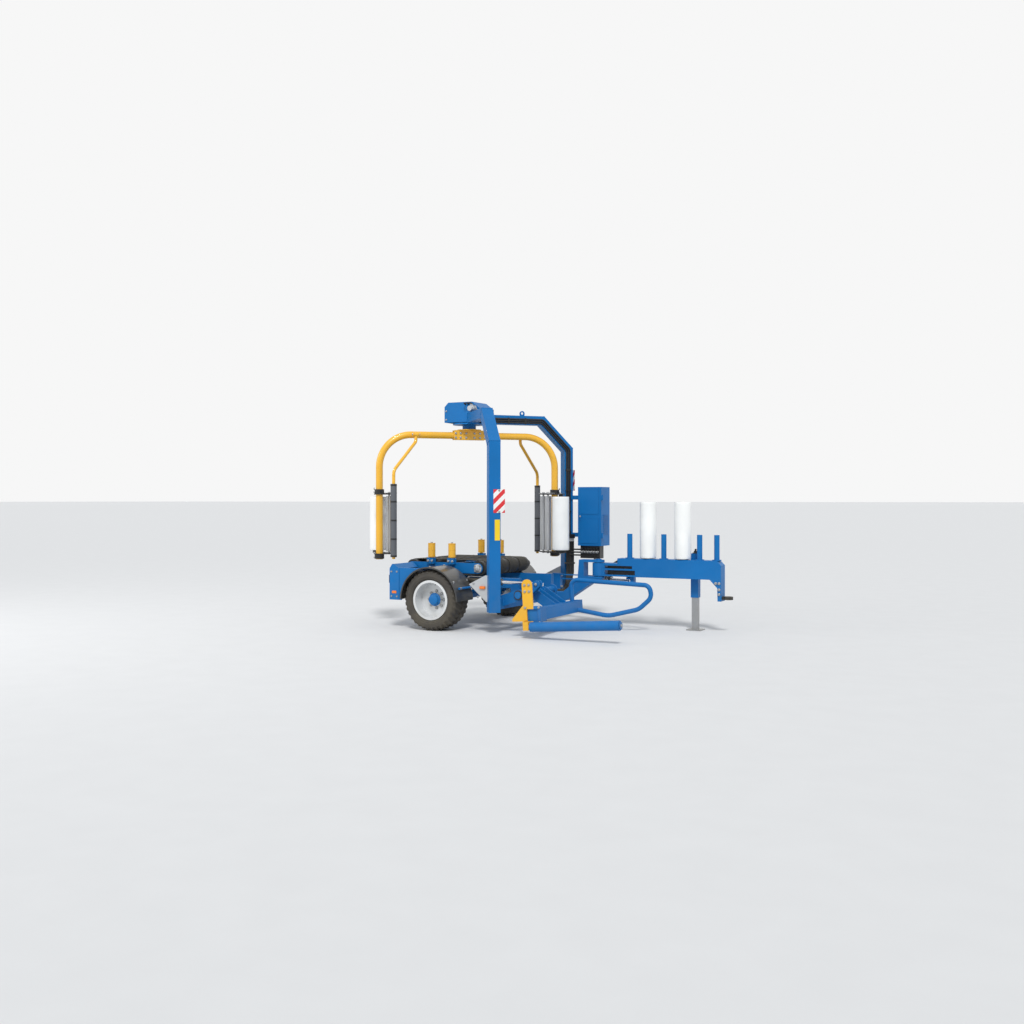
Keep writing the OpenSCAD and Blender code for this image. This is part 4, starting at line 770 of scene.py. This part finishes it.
for i in range(3):
    x, y, z, end_x = 1400 + 34 * i, 1030, 848 + 27 * i, 2900 + 8 * i
    bar_lines.append([at(x, y, 874), at(x, y, 770 - 20 * i), at(1640, 860 - 20 * i, 730 + 10 * i),
                      at(1980, 560, z)] + [at(bar_x, bar_hose_y, z) for bar_x in (2110, 2840, end_x)])
    rows.append((at(x, y, 880), (0, 0, -1)))
    bar_ends.append((at(end_x - 2, bar_hose_y, z), (-1, 0, 0)))
bolts("hose_ends", "chassis", rows, 1.0, crimp_shape)
bolts("bar_hose_ends", "drawbar", bar_ends, 1.0, crimp_shape)
pipes("frame_hoses", "chassis", frame_lines, 0.011, 0.09, rubber, 14)
bar_hoses = pipes("bar_hoses", None, bar_lines, 0.011, 0.12, rubber, 14)
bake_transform(bar_hoses)
form("bar_clips", black, "drawbar", [(plate, at(x - 15, 470, 834), at(x + 15, 495.5, 917), 0.004)
                                     for x in (2200, 2450, 2700)])
form("couplings", steel, "drawbar", [(plate, at(2905, 470, 836), at(2925, 500, 916), 0.003)] + [
    (turned, at(2905 + 8 * i, bar_hose_y, 848 + 27 * i), (1, 0, 0),
     [(0, 0), (12, 0), (12, 30), (14, 34), (14, 62), (10, 66), (0, 66)], 16) for i in range(3)])

# ---- Rotor ----
# The turning frame is one bent steel tube a side, sprayed yellow and welded between two plates under
# the head. Each arm carries a black film carrier with two ribbed rollers geared together.

yellow_code = "ecb22e"
yellow = coated("yellow_paint", yellow_code, rough=0.3, worn="6c665c", dust=0.2, wear=0.45, Coat_Weight=0.3)
stretch = coated("stretch_metal", "b4b6b8", rough=0.35, worn="dcdcdc", dust=0.15, wear=0.2, Metallic=0.8)
foam = coated("sleeve_foam", "5c5f64", rough=0.85, worn="7c7f84", dust=0.3, wear=0.3, grain_scale=160.0,
              grain_depth=0.002)
card = coated("core_card", "a8845c", rough=0.8, dust=0.1, wear=0.2)
film = coated("film", "f4f5f3", rough=0.22, worn="e8e8e6", dust=0.06, dust_top=2.0, wear=0.0, edge=0.006,
              grain_scale=14.0, grain_depth=0.003, Coat_Weight=0.5)
tree, group, shader, place = tree_of(film)
wraps = add(tree, "ShaderNodeTexWave", {"Vector": place, "Scale": 24.0, "Distortion": 3.0, "Detail": 2.0},
            bands_direction="Z")
wrap_bump = add(tree, "ShaderNodeBump", {"Strength": 0.25, "Distance": 0.002, "Height": (wraps, "Fac"),
                                         "Normal": (group, "Normal")})
feed(shader, {"Normal": (wrap_bump, 0)})
dress(yellow, "rotor_arms", "trip_bar_front", "trip_bar_rear")
dress(black, "dispensers")
dress(stretch, "stretch_rollers")
dress(foam, "trip_sleeve_front", "trip_sleeve_rear")

arm_reach = 1280
roll_spot = (arm_reach - 60, -420)
large_spot, small_spot = (arm_reach - 175, -205), (arm_reach - 188, -45)
trip_spot = (arm_reach - 110, 450)
arms = ((0, "front"), (180, "rear"))


def arm_way(turn, aside=0):
    """The way that an arm points, or one turned aside from it, for the rotor's turn in degrees."""
    a = math.radians(45 + turn + aside)
    return Vector((math.cos(a), math.sin(a), 0))


def on_rotor(turn, x, y, z):
    """A place on an arm: along it, ahead of it, and height, in millimetres."""
    return rotor + (arm_way(turn) * x + arm_way(turn, 90) * y + Vector((0, 0, z))) / 1000


def film_roll(bm, place, radius, hole, length):
    """A wound roll with slightly uneven ends, its foot at a place."""
    ends = [(hole + (radius - 6 - hole) * i / 14, 1.2 * (i % 2) + 0.5 * math.sin(i * 2.1)) for i in range(15)]
    profile = [(r, -d) for r, d in ends] + [(radius - 2, 1), (radius, 5)]
    profile += [(radius - 0.5 * (i % 2), 5 + (length - 10) * i / 26) for i in range(1, 26)]
    profile += [(radius, length - 5), (radius - 2, length - 1)] + [(r, length + d) for r, d in reversed(ends)]
    turned(bm, place, up, profile, 64, True)


for turn, name in arms:
    form(f"wound_film_{name}", film, f"film_roll_{name}",
         [(film_roll, on_rotor(turn, *roll_spot, 1010), 120, 31, 750)],
         stands_for=(f"film_roll_{name}",), angle=50)
    form(f"film_core_{name}", card, f"film_roll_{name}",
         [(ring_at, on_rotor(turn, *roll_spot, z), up, 30.3, 42, 6, 40) for z in (1007, 1757)], "film")


def joined(name, meshes, m):
    """One mesh of several."""
    bm = bmesh.new()
    for mesh in meshes:
        bm.from_mesh(mesh)
    return from_bmesh(name, bm, m)


rib_shape = shape_of("rib_shape", (ring_at, (0, 0, 0), up, 43, 46, 3.5, 24))
tooth_small, tooth_large = (shape_of(name, (plate, (r, -0.0035, 0), (r + 0.008, 0.0035, 0.012), 0.0))
                            for name, r in (("tooth_small", 0.058), ("tooth_large", 0.087)))
lines, rows, teeth, gears, ribs = [], [], [], [], []
for turn, _ in arms:
    ribs += [repeated("ribs", rib_shape, 58, on_rotor(turn, *spot, 1006), (0, 0, 0.0128), m=stretch)
             for spot in (large_spot, small_spot)]
    for spot, count, shape, r in ((small_spot, 26, tooth_small, 59), (large_spot, 38, tooth_large, 88)):
        gear = on_rotor(turn, *spot, 1804)
        teeth.append(repeated("teeth", shape, count, gear, turn=math.tau / count))
        gears += [(ring_at, gear, up, 14, r, 12, 40),
                  (turned, gear, up, [(0, -1), (20, -1), (20, 20), (16, 24), (0, 24)], 20)]
    rows += [(on_rotor(turn, arm_reach + 66, 0, z), arm_way(turn)) for z in (928, 988, 1822, 1870)]
    rows += [(on_rotor(turn, *spot, z), (0, 0, way))
             for spot, z, way in ((roll_spot, 968, -1), (roll_spot, 1802, 1), (large_spot, 968, -1),
                                  (small_spot, 968, -1))]
    rows += [(on_rotor(turn, x, s * 58, z), arm_way(turn, s * 90))
             for x in (60, 140, 210) for z in (2590, 2650) for s in sides]
    lines += [[on_rotor(turn, 230, s * y, z) for y, z in ((44, 2572), (50, 2620), (44, 2668))] for s in sides]
    lines += [[on_rotor(turn, x, 40, 2594), on_rotor(turn, x, 48, 2646)] for x in (752, 828)]
piece("stretch_gear_teeth", joined("stretch_gear_teeth", teeth, steel), "rotor", "zinc")
form("stretch_gears", steel, "rotor", gears)
piece("stretch_ribs", joined("stretch_ribs", ribs, stretch), "rotor", "stretch_metal")
welds("rotor_welds", "rotor", lines, yellow)
bolts("rotor_bolts", "rotor", rows, 1.5)

for turn, name in arms:
    form(f"sleeve_bands_{name}", black, f"trip_{name}",
         [(ring_at, on_rotor(turn, *trip_spot, z), up, 41, 43.5, 22, 32)
          for z in (952, 1180, 1430, 1680, 1902)])
    form(f"hinge_nuts_{name}", steel, "rotor",
         [(turned, on_rotor(turn, arm_reach - 490 + s * 42, 100, 2620), s * arm_way(turn),
           [(0, 0), (20, 0), (20, 5), (13, 6), (13, 14), (0, 15)], 16) for s in sides])

# ---- Table ----
# Two steel rollers carry four endless rubber belts on a tilting frame of side plates. Flanged bearings
# and an oil motor sit outside the plates; turned yellow guide rollers stand along both sides.

roller_black = coated("roller_black", "1b1b1d", rough=0.4, worn="707070", dust=0.35, wear=0.4)
belt = coated("belt_rubber", "212122", rough=0.7, worn="3c3c3a", dust=0.3, dust_top=1.6, wear=0.3, edge=0.002,
              grain_scale=500.0, grain_depth=0.0004)
tree, group, shader, place = tree_of(belt)
mirror = add(tree, "ShaderNodeMapping", {"Vector": place, "Scale": (1, -1, 1)})
diamond = maths(tree, "MINIMUM", *(
    (add(tree, "ShaderNodeTexWave", {"Vector": spot, "Scale": 22.0}, bands_direction="DIAGONAL"), "Fac")
    for spot in (place, (mirror, 0))))
belt_bump = add(tree, "ShaderNodeBump", {"Strength": 0.9, "Distance": 0.003, "Height": diamond,
                                         "Normal": (group, "Normal")})
feed(shader, {"Normal": (belt_bump, 0)})
dress(blue, "table_frame")
dress(roller_black, "table_rollers")
dress(belt, "table_belts")
dress(yellow, "guide_rollers")

guide_x, guide_y, bearing_z = (-270, 50), 695, 800
parts, rows = [], []
for x, y in ((440, -677), (-600, -677), (-600, 677)):
    s = 1 if y > 0 else -1
    parts.append((turned, at(x, y, bearing_z), (0, s, 0),
                  [(0, 0), (58, 0), (58, 8), (40, 12), (34, 26), (26, 30), (0, 30)], 32))
    rows += [(around(x, y + s * 8, bearing_z, 48, 45 + 90 * i), (0, s, 0)) for i in range(4)]
form("table_bearings", motor_metal, "table", parts)
for x in guide_x:
    for s in sides:
        rows += [(at(x - 30, s * 740, 890), (0, s, 0)), (at(x + 30, s * 740, 890), (0, s, 0)),
                 (at(x, s * guide_y, 1130), up)]
rows += [(at(-80, s * 677, z), (0, s, 0)) for s in sides for z in (775, 825)]
bolts("table_bolts", "table", rows, 1.6)
form("guide_rings", yellow, "table", [(ring_at, at(x, s * guide_y, z), up, 48, 52, 6, 32)
                                      for x in guide_x for s in sides for z in (950, 1035, 1118)])
cleat_shape = shape_of("cleat_shape", (plate, (-0.004, -0.108, 0), (0.004, 0.108, 0.0022), 0.001))
cleats = [repeated("cleats", cleat_shape, 6, at(-330, y, 906.4), (0.12, 0, 0), m=belt)
          for y in (-470, -165, 165, 470)]
piece("belt_cleats", joined("belt_cleats", cleats, belt), "table", "belt_rubber")
form("motor_ports", steel, "table", [
    (turned, at(440, y, 850), up, [(0, -4), (12, -4), (12, 20), (9, 22), (9, 34), (0, 34)], 6)
    for y in (745, 720)])

# ---- Loader ----
# The loader swings on a round bar in three ears. Its blue frame carries a bent hoop and, outside, a
# yellow plate on a blue sliding sleeve with the long free-turning roller.

loader_yellow = coated("loader_yellow", yellow_code, rough=0.38, worn="6c665c", dust=0.25, wear=0.45,
                       Specular_IOR_Level=0.32)
tree, group, shader, place = tree_of(loader_yellow)
xyz = add(tree, "ShaderNodeSeparateXYZ", {0: place})
sleeve, shaft_end, flange_x, flange_z = (
    maths(tree, "GREATER_THAN", (xyz, axis), limit)
    for axis, limit in (("Y", at(0, -1239.5, 0).y), ("X", at(2650, 0, 0).x), ("X", at(1553, 0, 0).x),
                        ("Z", 0.178)))
outer_part = maths(tree, "MAXIMUM", shaft_end, maths(tree, "MINIMUM", flange_x, flange_z))
arm_mix = add(tree, "ShaderNodeMix", {0: maths(tree, "MAXIMUM", sleeve, outer_part), "A": linear(yellow_code),
                                      "B": linear(blue_code)}, data_type="RGBA")
feed(group, {"Colour": (arm_mix, "Result")})
dress(blue, "loader_frame", "loader_hoop", "outer_roller")
dress(loader_yellow, "loader_arm")

lift = math.radians(4)
hinge = at(1200, 0, 500)
fore_way = (math.cos(lift), 0, math.sin(lift))


def raised(x, y, z):
    """A place on the loader as it is parked, a little raised about its hinge."""
    p = at(x, y, z) - hinge
    c, s = math.cos(lift), math.sin(lift)
    return hinge + Vector((p.x * c - p.z * s, p.y, p.x * s + p.z * c))


form("hinge_collars", black, "loader", [(ring_at, at(1200, y, 500), (0, 1, 0), 45.3, 62, 12, 32)
                                        for y in (57, -985)])
lines = [[raised(x, y + s * 10, 341) for x in (1462, 1590)] for y in (-560, -420, -240) for s in sides]
lines += [[raised(1450, y, 341), raised(1600, y, 341)] for y in (-1233, 108)]
welds("loader_welds", "loader", lines)
bolts("arm_bolts", "loader_arm", [(raised(x, -1260, z), (0, -1, 0)) for x, z in (
    (1440, 560), (1500, 560), (1440, 640), (1500, 640), (1431, 171), (1431, 359), (1619, 171),
    (1619, 359))], 1.6)
lever = math.radians(44)
lever_eye = (1200 + 180 * math.cos(lever), -680, 500 + 180 * math.sin(lever))
tilt_eye = (-350, 0, 610)
for name, body, (x, y, z) in (("lever_pin", "loader", lever_eye), ("tilt_pin", "table", tilt_eye)):
    form(f"{name}_heads", steel, body, [(turned, at(x, y + s * 66.2, z), (0, s, 0),
                                         [(0, 0), (20, 0), (20, 3), (15, 6), (0, 6)], 24) for s in sides])
form("roller_nut", steel, "loader_arm", [(turned, raised(2717, -1320, 125), fore_way,
                                          [(0, 0), (22, 0), (22, 5), (12, 8), (12, 16), (0, 17)], 20)])
form("roller_bands", blue, "outer_roller", [(ring_at, raised(x, -1320, 125), fore_way, 59, 61.5, 14, 40)
                                            for x in (1540, 2680)])

# ---- Cylinders ----
# Oil cylinders lift the loader, tilt the table and swing the drawbar. Their barrels are sprayed
# black, the rods are hard-chromed, and short steel pipes lead the oil to the far end.

rod_chrome = coated("bright_rod", "e0e0e2", rough=0.12, worn="ffffff", dust=0.12, wear=0.0, grain_scale=900.0,
                    grain_depth=0.00005, Metallic=1.0)
dress(black, "lift_barrel", "tilt_barrel", "swing_barrel")
dress(rod_chrome, "lift_rod", "tilt_rod", "swing_rod")
for body, foot, eye, length, pin_way in (
        ("lift_barrel", (250, -680, 640), lever_eye, 560, (0, 1, 0)),
        ("tilt_barrel", (210, 0, 520), tilt_eye, 400, (0, -1, 0)),
        ("swing_barrel", (1300, 800, 620), (2150, 500, 620), 560, up)):
    start, way = at(*foot), (at(*eye) - at(*foot)).normalized()
    over = way.cross(Vector(pin_way)).normalized()
    port = [(0, 30), (15, 30), (15, 50), (9, 52), (9, 58), (0, 58)]
    form(f"{body}_ports", steel, body,
         [(turned, start + way * d / 1000, over, port, 12) for d in (48, length - 34)]
         + [(ring_at, start + way * d / 1000, way, 37.5, 41, 8, 32) for d in (length - 60, 36)]
         + [(ring_at, start + way * (length - 6) / 1000, way, 20.5, 36, 10, 32)])
    pipes(f"{body}_pipe", body, [[start + way * d / 1000 + over * 54 / 1000 for d in (60, 90, length - 34)]],
          0.006, 0.01, steel)

# ---- Drawbar ----
# The drawbar is a deep welded box with slots at its rear, six pegs for film and a tow ring in front.
# A square jack with a crank holds it up; two spare rolls stand on their pegs.

dress(blue, "drawbar")
dress(black, "tow_eye")
dress(steel, "jack_leg")
bar_y = 380
spare_x = (2450, 2930)
lines = [[at(x + 36 * math.cos(a * 0.35), bar_y + 36 * math.sin(a * 0.35), 941) for a in range(19)]
         for x in (2190, 2450, 2670, 2930, 3160, 3390)]
lines += [[at(2050, y, 862), at(2050, y, 928)] for y in (288.5, 471.5)]
lines += [[at(3010, 471, z), at(3110, 471, z)] for z in (700, 926)]
welds("drawbar_welds", "drawbar", lines)
bolts("drawbar_bolts", "drawbar", [(at(x, bar_y + side * 90, z), (0, side, 0)) for side in sides
                                   for x, z in ((3445, 500), (3445, 560), (3445, 640), (3400, 640))], 1.8)
# black sheets set inside the drawbar's slots: painted shade, a dark sheet where the open slots would only be
# shaded
form("slot_webs", black, "drawbar", [(plate, at(1880, 352, low), at(x, 358, high), 0.001)
                                     for x, low, high in ((2294.6, 707.4, 768.6), (2254.6, 791.4, 828.6))])
form("spare_film", film, "drawbar", [(film_roll, at(x, bar_y, 940), 110, 37.5, 750) for x in spare_x],
     stands_for=("spare_rolls",), angle=50)
form("spare_cores", card, "drawbar", [(ring_at, at(x, bar_y, z), up, 37.2, 46, 6, 40)
                                      for x in spare_x for z in (938, 1686)], "film")
form("jack_head", black, "drawbar", [(turned, at(3060, 520, 1010), up, [
    (0, 0), (42, 0), (42, 10), (24, 14), (24, 34), (12, 36), (12, 60), (0, 60)], 24)])
pipes("jack_crank", "drawbar", [[at(3060, y, z) for y, z in ((520, 1058), (640, 1058), (640, 1140))]],
      0.008, 0.02, steel)
form("crank_grip", black, "drawbar", [(turned, at(3060, 640, 1075), up, [
    (0, 0), (15, 0), (16, 10), (14, 34), (16, 60), (13, 66), (0, 66)], 20)])
form("swing_pin_caps", steel, "chassis", [
    (turned, at(1750, 350, z), (0, 0, way), [(0, 0), (30, 0), (30, 4), (22, 6), (0, 6)], 24)
    for z, way in ((636, -1), (900, 1))])

for shape in shapes:
    bpy.data.objects.remove(shape)
